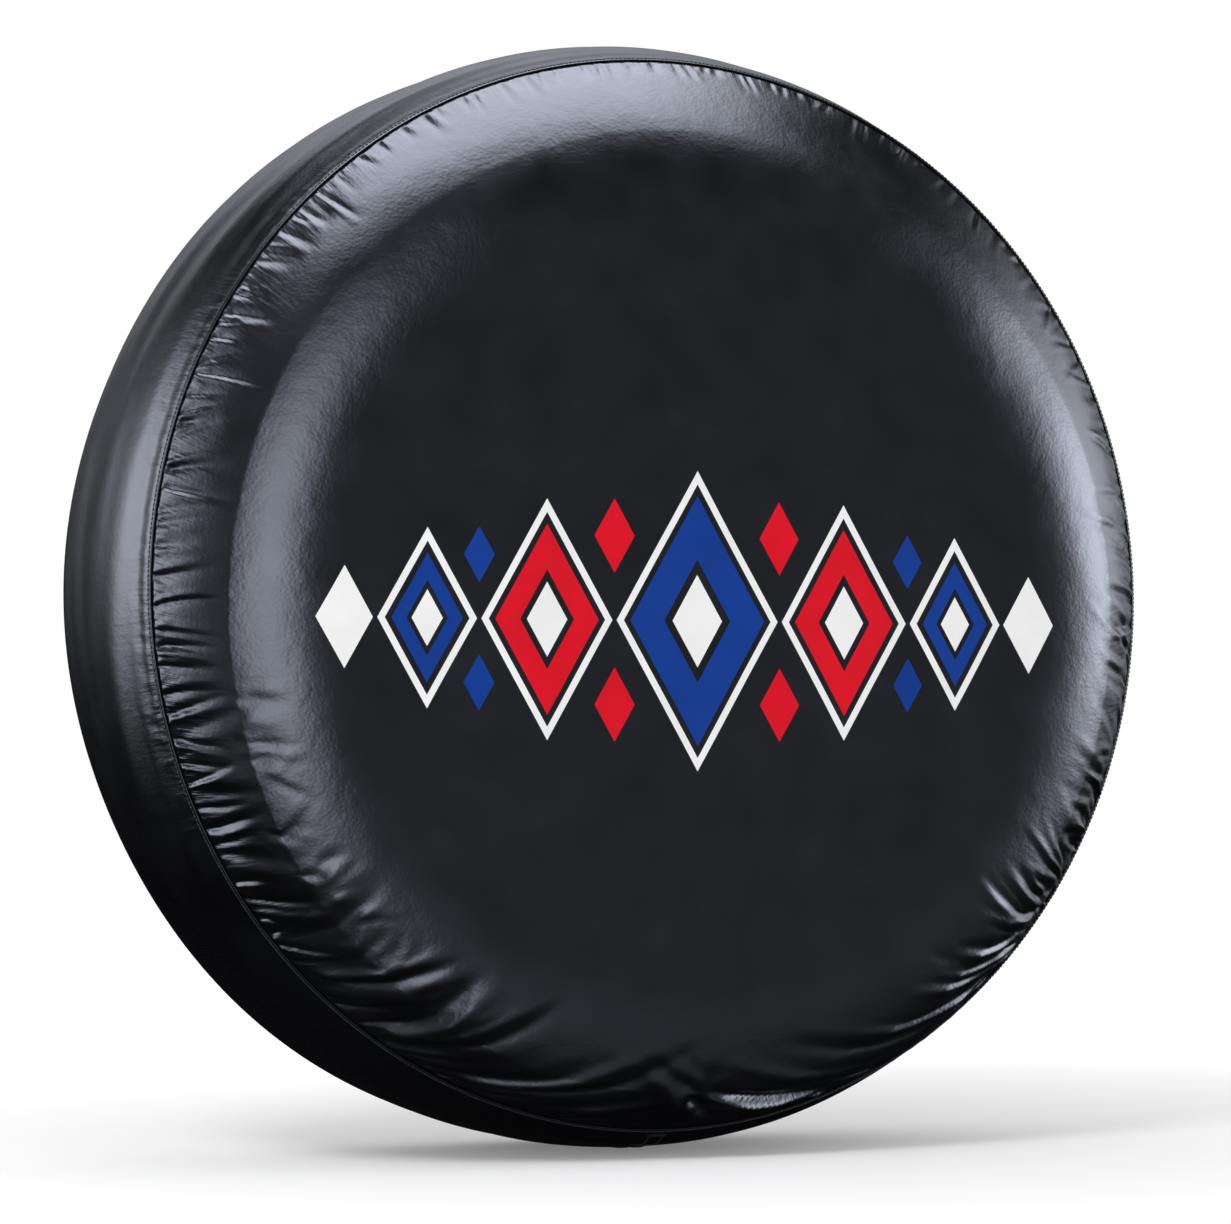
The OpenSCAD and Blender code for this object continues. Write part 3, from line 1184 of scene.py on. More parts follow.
def stitch_run(
    name: str, at: Array, along: Array, up: Array, finish: Material, length: float = 2.5, radius: float = 0.4
) -> Piece:
    """Makes a row of stitches, all copies of one.

    Args:
        name: The piece's name.
        at: Middles of the stitches, in mm.
        along: Their directions, as unit vectors.
        up: Directions away from the cloth, as unit vectors.
        finish: The thread's material.
        length: Length of a stitch between its holes.
        radius: Radius of the thread.

    Returns:
        The piece.
    """
    local, one = one_stitch(length, radius)
    axes = np.stack([along, np.cross(up, along), up], axis=1)
    points = at[:, None, :] * MM + np.einsum("pk,nkc->npc", local, axes)
    faces = [tuple(len(local) * n + i for i in face) for n in range(len(at)) for face in one]
    return mesh_object(name, points, faces, finish)


class Finishes:
    """The cover's materials, each made once."""

    def __init__(self) -> None:
        """Makes them."""
        self.vinyl = ExpandedVinyl("black_expanded_vinyl").material()
        self.fleece = NappedFleece("grey_napped_fleece").material()
        self.thread = BondedThread("black_bonded_thread").material()
        self.elastic = BraidedElastic("braided_shock_cord").material()
        self.crimp = ZincCrimp("zinc_plated_crimp").material()
        self.ribbon = SatinRibbon("white_satin_ribbon").material()
        self.blue = ScreenInk("blue_screen_ink", "#053B95", "#04368A").material()
        self.red = ScreenInk("red_screen_ink", "#E0021F", "#D2021D").material()
        self.white = ScreenInk("white_screen_ink", "#F6F6F6", "#EEEEEE").material()


# ---- Face ----


@dataclass
class FacePanel:
    """The disc of vinyl over the tire's front, with its fleece."""

    gathers: Gathers
    finishes: Finishes
    steps: int = 1664
    cut_r: float = 394.0
    lining_cut_back: float = 8.0

    def build(self) -> list[Piece]:
        """Builds and dresses the skin and the fleece, and returns them."""
        return [self._skin(), self._fleece()]

    def _rings(self) -> list[tuple[float, int]]:
        """Spaces the rings of points, from the middle out to the allowance under the band.

        Returns:
            Depth and number of points of each ring.
        """
        crease, flat = SHAPE.crease_depth, SHAPE.flat_from
        centre = flat + SHAPE.flat_r
        rings = [(centre - r, self.steps // 16) for r in (6, 20, 40, 62)]
        rings += [(centre - r, self.steps // 8) for r in (84, 104, 124)]
        rings += [(centre - r, self.steps // 4) for r in (140, 154, 168, 181, 193)]
        rings += [(centre - r, self.steps // 2) for r in (204, 214, 223, 231, 238)]
        rings += [(flat - k * (flat - crease - 2) / 22, self.steps // 2) for k in range(0, 22)]
        rings += [(d, self.steps) for d in (crease + 1.2, crease - 0.2, crease - 1.8)]
        rings += [(d, self.steps) for d in np.linspace(crease - 4.2, 30, 10)]
        rings += [(d, self.steps) for d in np.linspace(28.2, 12, 11)]
        rings += [(d, self.steps) for d in (10.9, 9.8, 8.7, 7.6, 6.5, 5.4, 4.4, 3.5, 2.6, 1.8, 1.0, 0.3)]
        rings += [(d, self.steps) for d in (-0.6, -2.6, -4.7)]
        return rings

    def _points(
        self, rings: list[tuple[float, int]], gathers: Gathers, inset: float
    ) -> tuple[Array, Array, Array]:
        """Places the rings' points.

        Args:
            rings: Depth and number of points of each ring.
            gathers: Whose heights are used.
            inset: How far behind the outer surface the points lie.

        Returns:
            The points, their angles and their depths.
        """
        angle = np.concatenate([np.arange(n) / n * TURN for _, n in rings])
        depth = np.concatenate([np.full(n, float(d)) for d, n in rings])
        radius, y, nr, ny = SHAPE.face(depth)
        height = gathers.face_height(angle, depth) - inset
        points = on_cover(radius, y, (nr, ny), height, angle, SHAPE.drop(depth))
        return points, angle, depth

    def _disc(
        self, name: str, rings: list[tuple[float, int]], points: Array, finish: Material, inwards: bool
    ) -> Piece:
        """Makes a closed disc from rings and a middle point.

        Args:
            name: The piece's name.
            rings: Depth and number of points of each ring.
            points: The rings' points.
            finish: The material.
            inwards: Whether the faces look at the tire.

        Returns:
            The piece.
        """
        first = rings[0][1]
        middle = points[:first].mean(axis=0)
        faces = ring_faces([n for _, n in rings])
        faces += [(i, (i + 1) % first, len(points)) for i in range(first)]
        if inwards:
            faces = [tuple(reversed(f)) for f in faces]
        return mesh_object(name, np.vstack([points, middle]), faces, finish)

    def _skin(self) -> Piece:
        """Makes the vinyl disc.

        Returns:
            The piece.
        """
        rings = self._rings()
        points, angle, depth = self._points(rings, self.gathers, 0.0)
        skin = self._disc("face_skin", rings, points, self.finishes.vinyl, False)
        strength = around(self.gathers.strength, angle)
        reach = around(self.gathers.reach, angle)
        pucker = strength * np.exp(-np.maximum(depth - 2, 0) / (0.75 * reach)) * np.clip(depth / 2, 0, 1)
        mark(skin, "pucker", np.append(pucker, 0.0))
        place = np.stack([SHAPE.seam_r * np.cos(angle), SHAPE.seam_r * np.sin(angle), depth], axis=1) * MM
        mark(skin, "cloth_place", np.vstack([place, [0, 0, 0.37]]))
        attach(skin, Body.COVER.value)
        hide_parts("face_panel")
        return skin

    def _fleece(self) -> Piece:
        """Makes the fleece behind the vinyl.

        Returns:
            The piece.
        """
        rings = [(d, n // 2) for d, n in self._rings() if d > 1.0]
        points, _, _ = self._points(rings, self.gathers.lining(), LINING_INSET)
        fleece = self._disc("face_fleece", rings, points, self.finishes.fleece, True)
        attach(fleece, Body.COVER.value)
        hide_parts("face_backing")
        return fleece


# ---- Band, rear return and their seams ----


@dataclass
class SideBand:
    """The strip of vinyl over the tread and the tire's back, its fleece, and the seams that hold it."""

    gathers: Gathers
    finishes: Finishes
    steps: int = 1376
    turned_h: float = 1.3
    hidden_w: float = 4.5
    stitch_pitch: float = 3.0
    stitch_share: float = 0.86
    stitch_in: float = 1.9
    flat: tuple[float, float] = (2.34, 0.30)

    def build(self) -> list[Piece]:
        """Builds and dresses the band's pieces.

        Returns:
            The pieces.
        """
        return [
            self._skin(),
            self._fleece(),
            self._topstitch(),
            self._overlock(),
            self._lap(),
            self._lap_stitches(),
            self._tacks(),
        ]

    def _edge_line(self) -> tuple[Array, Array]:
        """Gives the turned edge's section: from its hidden ply, round the fold, and down a ramp.

        Returns:
            Distances back, and heights over the cloth.
        """
        under = 0.2
        nose = (self.turned_h + under) / 2
        half = (self.turned_h - under) / 2
        swing = np.radians([-90, -60, -30, 0, 30, 60, 90])
        ramp = [1.2, 2.0, 3.0, 4.2, 5.4, 6.8, 8.4, 10.2, 12.2, 14.2]
        back = np.concatenate([[self.hidden_w, 2.0], half - half * np.cos(swing), ramp])
        top = self.turned_h * np.array([1, 1, 0.99, 0.95, 0.86, 0.7, 0.47, 0.24, 0.07, 0.0])
        height = np.concatenate([[under, under], nose + half * np.sin(swing), top])
        return back, height

    def height(self, angle: Array, back: Array, gathers: Gathers | None = None) -> Array:
        """Gives the band's height above its smooth shape, without the turned edge.

        Args:
            angle: Angles round the axis.
            back: Distances back from the seam.
            gathers: Whose folds are read; the vinyl's without it.

        Returns:
            The heights.
        """
        return (gathers or self.gathers).band.at(angle, back) * np.clip(0.25 + back / 9, 0, 1)

    def _grid(self, back: Array, lift: Array, steps: int, gathers: Gathers) -> tuple[Array, Array, Array]:
        """Places a grid of points round the cover.

        Args:
            back: Distances back of its rows.
            lift: Heights of its rows above the cloth.
            steps: Points in a row.
            gathers: Whose folds it follows.

        Returns:
            The points, their angles and their distances back.
        """
        angle = np.tile(np.arange(steps) / steps * TURN, len(back))
        rows = np.repeat(back, steps)
        radius, y, nr, ny = SHAPE.side(rows)
        height = self.height(angle, rows, gathers) + np.repeat(lift, steps)
        return on_cover(radius, y, (nr, ny), height, angle, 0 * angle), angle, rows

    def _skin(self) -> Piece:
        """Makes the vinyl of the band and the return, one strip from the turned edge to the hem.

        Returns:
            The piece.
        """
        edge_back, edge_height = self._edge_line()
        hem = SHAPE.stations[3]
        tread, drawn_in = np.linspace(38, 150, 16), np.linspace(154, hem - 2, 27)
        body = np.concatenate([np.arange(16.4, 36, 2.2), tread, drawn_in, [hem, hem + 3.5]])
        back = np.concatenate([edge_back, body])
        lift = np.concatenate([edge_height, np.zeros(len(body))])
        points, angle, rows = self._grid(back, lift, self.steps, self.gathers)
        skin = mesh_object("side_skin", points, ring_faces([self.steps] * len(back)), self.finishes.vinyl)
        strength = 0.25 + 0.5 * around(self.gathers.strength, angle)
        at_seam = np.exp(-rows / 14) * np.clip(rows / 3, 0, 1)
        mark(skin, "pucker", strength * (at_seam + 0.5 * np.exp(-(hem - rows) / 22)))
        place = [SHAPE.seam_r * np.cos(angle), SHAPE.seam_r * np.sin(angle), 0.7 + rows]
        mark(skin, "cloth_place", np.stack(place, axis=1) * MM)
        self._stretches(skin)
        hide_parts("side_band", "rear_return")
        return skin

    def _fleece(self) -> Piece:
        """Makes the fleece behind the band and the return.

        Returns:
            The piece.
        """
        hem = SHAPE.stations[3]
        back = np.concatenate([np.linspace(6, 150, 26), np.linspace(155, hem + 2, 26)])
        steps = self.steps // 2
        points, _, _ = self._grid(back, np.full(len(back), -LINING_INSET), steps, self.gathers.lining())
        faces = [tuple(reversed(f)) for f in ring_faces([steps] * len(back))]
        fleece = mesh_object("side_fleece", points, faces, self.finishes.fleece)
        self._stretches(fleece)
        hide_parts("band_backing", "return_backing")
        return fleece

    def _stretches(self, piece: Piece) -> None:
        """Writes a piece's placement into its points.

        Args:
            piece: The piece.
        """
        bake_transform(piece)

    def _frames(self, angle: Array, back: Array, lift: float) -> tuple[Array, Array, Array]:
        """Gives places on the band with their directions.

        Args:
            angle: Angles round the axis.
            back: Distances back from the seam.
            lift: Height above the cloth.

        Returns:
            Points in mm, unit vectors round the axis, and unit vectors away from the cloth.
        """
        radius, y, nr, ny = SHAPE.side(back)
        points = on_cover(radius, y, (nr, ny), self.height(angle, back) + lift, angle, 0 * angle) / MM
        along = np.stack([-np.sin(angle), 0 * angle, np.cos(angle)], axis=1)
        up = np.stack([nr * np.cos(angle), ny + 0 * angle, nr * np.sin(angle)], axis=1)
        return points, along, up

    def _finish_trim(self, piece: Piece, node: str) -> Piece:
        """Lets a small piece ride on the cover for its node.

        Args:
            piece: The piece.
            node: The node that it stands for.

        Returns:
            The piece.
        """
        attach(piece, Body.COVER.value)
        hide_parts(node)
        return piece

    def _topstitch(self) -> Piece:
        """Makes the row of stitches along the band's turned edge.

        Returns:
            The piece.
        """
        count = round(TURN * (SHAPE.seam_r + 2) / self.stitch_pitch)
        angle = (np.arange(count) + 0.5) / count * TURN
        points, along, up = self._frames(angle, np.full(count, self.stitch_in), self.turned_h + 0.25)
        length = self.stitch_pitch * self.stitch_share
        piece = stitch_run("seam_stitches", points, along, up, self.finishes.thread, length)
        return self._finish_trim(piece, "seam_topstitch")

    def _overlock(self) -> Piece:
        """Makes the bound edge of the seam allowance inside the cover, with its loops of thread.

        Returns:
            The piece.
        """
        steps, sides = 1480, 10
        turn = np.arange(sides) / sides * TURN
        loops = 1 + 0.07 * np.cos(np.arange(steps) * TURN / 2)
        middle = -2.9
        back = 5.0 + 3.4 * np.cos(turn)
        inset = middle + 1.05 * np.sin(turn)
        angle = np.repeat(np.arange(steps) / steps * TURN, sides)
        rows = np.tile(back, steps)
        radius, y, nr, ny = SHAPE.side(rows)
        height = middle + (np.tile(inset, steps) - middle) * np.repeat(loops, sides)
        points = on_cover(radius, y, (nr, ny), height, angle, 0 * angle)
        faces = []
        for k in range(steps):
            near, far = k * sides, (k + 1) % steps * sides
            for i in range(sides):
                j = (i + 1) % sides
                faces.append((near + i, near + j, far + j, far + i))
        piece = mesh_object("overlocked_allowance", points, faces, self.finishes.thread)
        return self._finish_trim(piece, "seam_overlock")

    def _lap(self) -> Piece:
        """Makes the lap of the band's two ends, inside the cover at the bottom.

        Returns:
            The piece.
        """
        back = np.linspace(12, 156, 60)
        across = np.linspace(-12.5, 12.5, 13)
        rows, side = np.meshgrid(back, across, indexing="ij")
        angle = BOTTOM + side / SHAPE.cover_r
        radius, y, nr, ny = SHAPE.side(rows)
        height = -1.8 - 0.06 * np.cos(rows / 5.0)
        points = on_cover(radius, y, (nr, ny), height, angle, 0 * angle)
        faces = [tuple(reversed(f)) for f in ring_faces([len(across)] * len(back), closed=False)]
        lap = mesh_object("closing_lap_strip", points, faces, self.finishes.vinyl)
        apply_modifier(lap, "SOLIDIFY", thickness=0.8 * MM, offset=1.0)
        return self._finish_trim(lap, "closing_lap")

    def _lap_stitches(self) -> Piece:
        """Makes the two rows of stitches that close the band into a ring.

        Returns:
            The piece.
        """
        back = np.arange(17.5, 152, self.stitch_pitch)
        places, alongs, ups = [], [], []
        for side in (-5.0, 5.0):
            angle = np.full(len(back), BOTTOM + side / SHAPE.cover_r)
            points, round_axis, up = self._frames(angle, back, 0.42)
            places.append(points)
            alongs.append(np.cross(round_axis, up))
            ups.append(up)
        rows = [np.vstack(part) for part in (places, alongs, ups)]
        length = self.stitch_pitch * self.stitch_share
        piece = stitch_run("closing_stitches", *rows, self.finishes.thread, length)
        return self._finish_trim(piece, "closing_stitch")

    def _tacks(self) -> Piece:
        """Makes the two bar tacks that lock the ends of the closing seam.

        Returns:
            The piece.
        """
        places, alongs, ups = [], [], []
        # One lies just behind the turned edge, and the other 26 degrees round the rear shoulder.
        for back in (14.0, SHAPE.stations[1] + SHAPE.rear_r * math.radians(26)):
            side = np.linspace(-6.6, 6.6, 23)
            angle = BOTTOM + side / SHAPE.cover_r
            slant = np.where(np.arange(len(side)) % 2, 1.0, -1.0)[:, None]
            points, along, up = self._frames(angle, np.full(len(side), back), 0.45)
            across = np.cross(along, up)
            leaning = across + 0.22 * slant * along
            places.append(points)
            alongs.append(leaning / np.linalg.norm(leaning, axis=1, keepdims=True))
            ups.append(up)
        rows = [np.vstack(part) for part in (places, alongs, ups)]
        piece = stitch_run("closing_tacks", *rows, self.finishes.thread, length=2.4, radius=0.36)
        return self._finish_trim(piece, "closing_bartacks")


# ---- Rear hem ----


@dataclass
class RearHem:
    """The tunnel round the rear opening with its elastic cord."""

    gathers: Gathers
    finishes: Finishes
    steps: int = 1536
    opening_r: float = 236.0
    bulb_h: float = 5.25
    tail_from: float = 248.0
    sewn_r: float = 251.0
    ply_h: float = 2.75
    stitch_pitch: float = 3.2
    ruffles: int = 148

    def build(self) -> list[Piece]:
        """Builds and dresses the hem's pieces.

        Returns:
            The pieces.
        """
        for node, finish in (("elastic_cord", self.finishes.elastic), ("cord_ferrule", self.finishes.crimp)):
            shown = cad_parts[node]
            shown.data.materials.clear()
            shown.data.materials.append(finish)
        return [self._tunnel(), self._stitches()]

    def _line(self) -> tuple[Array, Array]:
        """Gives the tunnel's section, from the front ply to the rear.

        Returns:
            Radii, and heights over the hem's middle.
        """
        swing = np.linspace(-math.radians(30), -math.pi, 9)
        radius = self.opening_r + self.bulb_h * (1 + np.cos(swing))
        lower_r = np.concatenate([[254.5, 252.5, 250.0, self.tail_from], radius])
        lower_h = np.concatenate([[-2.55, -2.5, -2.45, -3.2], self.bulb_h * np.sin(swing)])
        upper_h = -lower_h[-2::-1]
        # Two turns of cloth lie over the return's edge, so the rear ply ends lower there.
        upper_h[-2:] = 1.05
        return np.concatenate([lower_r, lower_r[-2::-1]]), np.concatenate([lower_h, upper_h])

    def _sway(self, angle: Array) -> Array:
        """Tells how far the hem waves along Y with the pleats.

        Args:
            angle: Angles round the axis.

        Returns:
            The sway.
        """
        return self.gathers.band.at(angle, np.full(angle.shape, SHAPE.stations[3]))

    def _tunnel(self) -> Piece:
        """Makes the ruffled tunnel of vinyl, open along its sewn tail.

        Returns:
            The piece.
        """
        radius, height = self._line()
        dice = np.random.default_rng(self.gathers.seed + 3)
        turn = np.arange(self.steps) / self.steps * TURN
        ruffle = 0.6 * np.cos(self.ruffles * turn + 1.2 * np.sin(9 * turn))
        for _ in range(8):
            ruffle += 0.12 * np.cos(dice.integers(60, 240) * turn + dice.uniform(0, TURN))
        rows = len(radius)
        angle = np.tile(turn, rows)
        r = np.repeat(radius, self.steps)
        h = np.repeat(height, self.steps)
        # The ruffles puff the tunnel up, and fade over the last millimetres before the tail's seam.
        puff = np.clip((252 - r) / 6, 0, 1) * np.tile(ruffle, rows)
        grow = 1 + 0.09 * puff
        centre = self.opening_r + self.bulb_h
        r = np.where(r < self.tail_from, centre + (r - centre) * np.minimum(grow, 1.06), r)
        h = h * grow
        y = SHAPE.hem_y + h + np.tile(self._sway(turn), rows)
        points = np.stack([r * np.cos(angle), y, r * np.sin(angle)], axis=1) * MM
        faces = [tuple(reversed(f)) for f in ring_faces([self.steps] * rows)]
        tunnel = mesh_object("hem_tunnel", points, faces, self.finishes.vinyl)
        mark(tunnel, "pucker", 0.5 + 0 * angle)
        place = [r * np.cos(angle), r * np.sin(angle), np.repeat(np.arange(rows) * 1.6, self.steps)]
        mark(tunnel, "cloth_place", np.stack(place, axis=1) * MM)
        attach(tunnel, Body.HEM.value)
        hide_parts("hem_casing")
        return tunnel

    def _stitches(self) -> Piece:
        """Makes the rows of stitches on both sides of the tunnel's tail.

        Returns:
            The piece.
        """
        count = round(TURN * self.sewn_r / self.stitch_pitch)
        angle = (np.arange(count) + 0.5) / count * TURN
        places, alongs, ups = [], [], []
        for side in (1, -1):
            y = SHAPE.hem_y + side * self.ply_h + self._sway(angle)
            places.append(np.stack([self.sewn_r * np.cos(angle), y, self.sewn_r * np.sin(angle)], axis=1))
            alongs.append(np.stack([-np.sin(angle), 0 * angle, np.cos(angle)], axis=1))
            ups.append(np.stack([0 * angle, side + 0 * angle, 0 * angle], axis=1))
        rows = [np.vstack(part) for part in (places, alongs, ups)]
        piece = stitch_run("hem_stitches", *rows, self.finishes.thread, length=2.7)
        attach(piece, Body.HEM.value)
        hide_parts("hem_stitch")
        return piece


# ---- Label ----


@dataclass
class CareLabel:
    """The blank ribbon that hangs at the bottom of the hem."""

    finishes: Finishes
    width: float = 40.0
    top: float = -243.0
    length: float = 50.0
    y: float = 129.5
    thick: float = 0.45

    def build(self) -> list[Piece]:
        """Builds and dresses the ribbon and its stitches, and returns them."""
        return [self._ribbon(), self._stitches()]

    def _ribbon(self) -> Piece:
        """Makes the ribbon with a slight curl towards its free end.

        Returns:
            The piece.
        """
        across = np.linspace(-self.width / 2, self.width / 2, 29)
        down = np.linspace(0, self.length, 41)
        run, side = np.meshgrid(down, across, indexing="ij")
        curl = 0.9 * np.cos(side / 11.0) * (run / self.length) ** 2
        curl += 0.5 * np.sin(run / 8.0) * run / self.length
        points = np.stack([side, self.y + 0.3 + curl, self.top - run], axis=-1) * MM
        faces = ring_faces([len(across)] * len(down), closed=False)
        ribbon = mesh_object("care_ribbon", points, faces, self.finishes.ribbon)
        apply_modifier(ribbon, "SOLIDIFY", thickness=self.thick * MM, offset=0.0)
        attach(ribbon, Body.LABEL.value)
        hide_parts("care_label")
        return ribbon

    def _stitches(self) -> Piece:
        """Makes the row of stitches that holds the ribbon.

        Returns:
            The piece.
        """
        x = np.arange(-16.5, 17, 3.0)
        points = np.stack([x, 0 * x + self.y + 0.85, 0 * x + self.top - 1.5], axis=1)
        along = np.tile([1.0, 0.0, 0.0], (len(x), 1))
        up = np.tile([0.0, 1.0, 0.0], (len(x), 1))
        piece = stitch_run("label_stitches", points, along, up, self.finishes.thread, 2.5, 0.35)
        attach(piece, Body.LABEL.value)
        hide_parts("label_stitch")
        return piece


# ---- Print ----


@dataclass
class PrintedRow:
    """The row of printed diamonds across the face, in three inks."""

    gathers: Gathers
    finishes: Finishes
    middle_z: float = -20.0
    aspect: float = 0.585
    heights: tuple[float, ...] = (100.0, 80.0, 60.0, 35.0)
    lift: float = 0.16
    cell: float = 4.0

    def build(self) -> list[Piece]:
        """Builds and dresses the three ink films.

        Returns:
            The films.
        """
        inks: dict[Slot, list] = {Slot.BLUE: [], Slot.RED: [], Slot.WHITE: []}
        x = 0.0
        for k, half_h in enumerate(self.heights):
            half_w = half_h * self.aspect
            for end in (-1, 1) if k else (1,):
                self._diamond(inks, k, end * x, half_w, half_h)
            if k + 1 < len(self.heights):
                x += half_w + self.heights[k + 1] * self.aspect
        # Small ones stand over and under where large ones meet: their half height and place from the middle.
        for ink, half_h, x, z in ((Slot.RED, 24.0, 58.5, 54.4), (Slot.BLUE, 18.0, 152.1, 40.8)):
            for end, up in product((-1, 1), (-1, 1)):
                inks[ink].append(self._whole(end * x, self.middle_z + up * z, half_h * self.aspect, half_h))
        names = {
            Slot.BLUE: ("blue_print", "print_blue", self.finishes.blue),
            Slot.RED: ("red_print", "print_red", self.finishes.red),
            Slot.WHITE: ("white_print", "print_white", self.finishes.white),
        }
        return [self._film(patches, slot, *names[slot]) for slot, patches in inks.items()]

    def _diamond(self, inks: dict[Slot, list], k: int, x: float, half_w: float, half_h: float) -> None:
        """Adds a diamond of the row: white outline, coloured frame and white heart, or all white at the ends.

        Args:
            inks: The patches of each ink.
            k: Its number from the middle.
            x: Its place along X.
            half_w: Half its width.
            half_h: Half its height.
        """
        # The white outline lies 1.5 to 6.5 mm inside the side corners, and the frame starts 11 mm inside.
        edge, line, fill = (1 - margin / half_w for margin in (1.5, 6.5, 11))
        if k == len(self.heights) - 1:
            inks[Slot.WHITE].append(self._whole(x, self.middle_z, half_w * edge, half_h * edge))
            return
        inks[Slot.WHITE].append(self._frame(x, half_w * edge, half_h * edge, line / edge))
        colour = Slot.RED if k == 1 else Slot.BLUE
        inks[colour].append(self._frame(x, half_w * fill, half_h * fill, 0.4 / fill))
        inks[Slot.WHITE].append(self._whole(x, self.middle_z, half_w * 0.3, half_h * 0.3))

    def _outline(self, x: float, z: float, half_w: float, half_h: float) -> Piece:
        """Adds a flat diamond that looks forward, left in edit mode and selected all over.

        Args:
            x: Its place along X.
            z: Its place along Z.
            half_w: Half its width.
            half_h: Half its height.

        Returns:
            The diamond.
        """
        bpy.ops.object.select_all(action="DESELECT")
        bpy.ops.mesh.primitive_circle_add(
            vertices=4,
            radius=half_h * MM,
            fill_type="NGON",
            location=(x * MM, 0, z * MM),
            rotation=(math.pi / 2, 0, 0),
        )
        diamond = bpy.context.active_object
        diamond.scale.x = half_w / half_h
        bpy.ops.object.transform_apply(location=True, rotation=True, scale=True)
        bpy.ops.object.mode_set(mode="EDIT")
        bpy.ops.mesh.select_all(action="SELECT")
        return diamond

    def _whole(self, x: float, z: float, half_w: float, half_h: float) -> Piece:
        """Makes a full diamond, cut fine enough to follow the cloth.

        Args:
            x: Its place along X.
            z: Its place along Z.
            half_w: Half its width.
            half_h: Half its height.

        Returns:
            The diamond.
        """
        diamond = self._outline(x, z, half_w, half_h)
        bpy.ops.mesh.subdivide(number_cuts=max(2, round(half_h / self.cell)))
        bpy.ops.object.mode_set(mode="OBJECT")
        return diamond

    def _frame(self, x: float, half_w: float, half_h: float, hole: float) -> Piece:
        """Makes a diamond with a diamond hole.

        Args:
            x: Its place along X.
            half_w: Half its width.
            half_h: Half its height.
            hole: The hole's size as a share of the diamond's.

        Returns:
            The diamond.
        """
        diamond = self._outline(x, self.middle_z, half_w, half_h)
        width = (1 - hole) * half_w * half_h / math.hypot(half_w, half_h)
        rings = max(1, round(width / self.cell))
        for _ in range(rings):
            bpy.ops.mesh.inset(thickness=width / rings * MM)
        bpy.ops.mesh.delete(type="ONLY_FACE")
        # The slanting edges are cut; the level and upright ones are the mitres at the four points.
        shape = bmesh.from_edit_mesh(diamond.data)
        for edge in shape.edges:
            run = edge.verts[0].co - edge.verts[1].co
            edge.select = min(abs(run.x), abs(run.z)) > 1e-5
        bmesh.update_edit_mesh(diamond.data)
        bpy.ops.mesh.subdivide(number_cuts=max(6, round(math.hypot(half_w, half_h) / self.cell)))
        bpy.ops.object.mode_set(mode="OBJECT")
        return diamond

    def _film(self, patches: list[Piece], slot: Slot, name: str, node: str, finish: Material) -> Piece:
        """Joins an ink's patches and lays them on the face as one film.

        Args:
            patches: The patches, flat and upright.
            slot: The slot of the ink; not used.
            name: The piece's name.
            node: The node that it stands for.
            finish: The ink's material.

        Returns:
            The piece.
        """
        bpy.ops.object.select_all(action="DESELECT")
        for patch in patches:
            patch.select_set(True)
        film = patches[0]
        bpy.context.view_layer.objects.active = film
        bpy.ops.object.join()
        film.name = film.data.name = name
        film.data.materials.append(finish)
        flat = np.empty(3 * len(film.data.vertices))
        film.data.vertices.foreach_get("co", flat)
        x, _, z = flat.reshape(-1, 3).T / MM
        reach = np.hypot(x, z + SHAPE.relief_drop)
        angle = np.arctan2(z + SHAPE.relief_drop, x)
        tilt = np.arcsin(np.clip((reach - SHAPE.flat_r) / SHAPE.sidewall_r, 0, 1))
        past_flat = np.where(reach > SHAPE.flat_r, tilt * SHAPE.sidewall_r, reach - SHAPE.flat_r)
        depth = SHAPE.flat_from - past_flat
        y = -SHAPE.face_depth + SHAPE.sidewall_r * (1 - np.cos(tilt))
        y = y - (self.gathers.face_height(angle, depth) + self.lift) * np.cos(tilt)
        film.data.vertices.foreach_set("co", (np.stack([x, y, z], axis=1) * MM).ravel())
        apply_modifier(film, "SOLIDIFY", thickness=0.3 * MM, offset=-1.0)
        film.data.shade_smooth()
        film.data.set_sharp_from_angle(angle=math.radians(40))
        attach(film, Body.COVER.value)
        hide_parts(node)
        return film


# ---- Studio ----


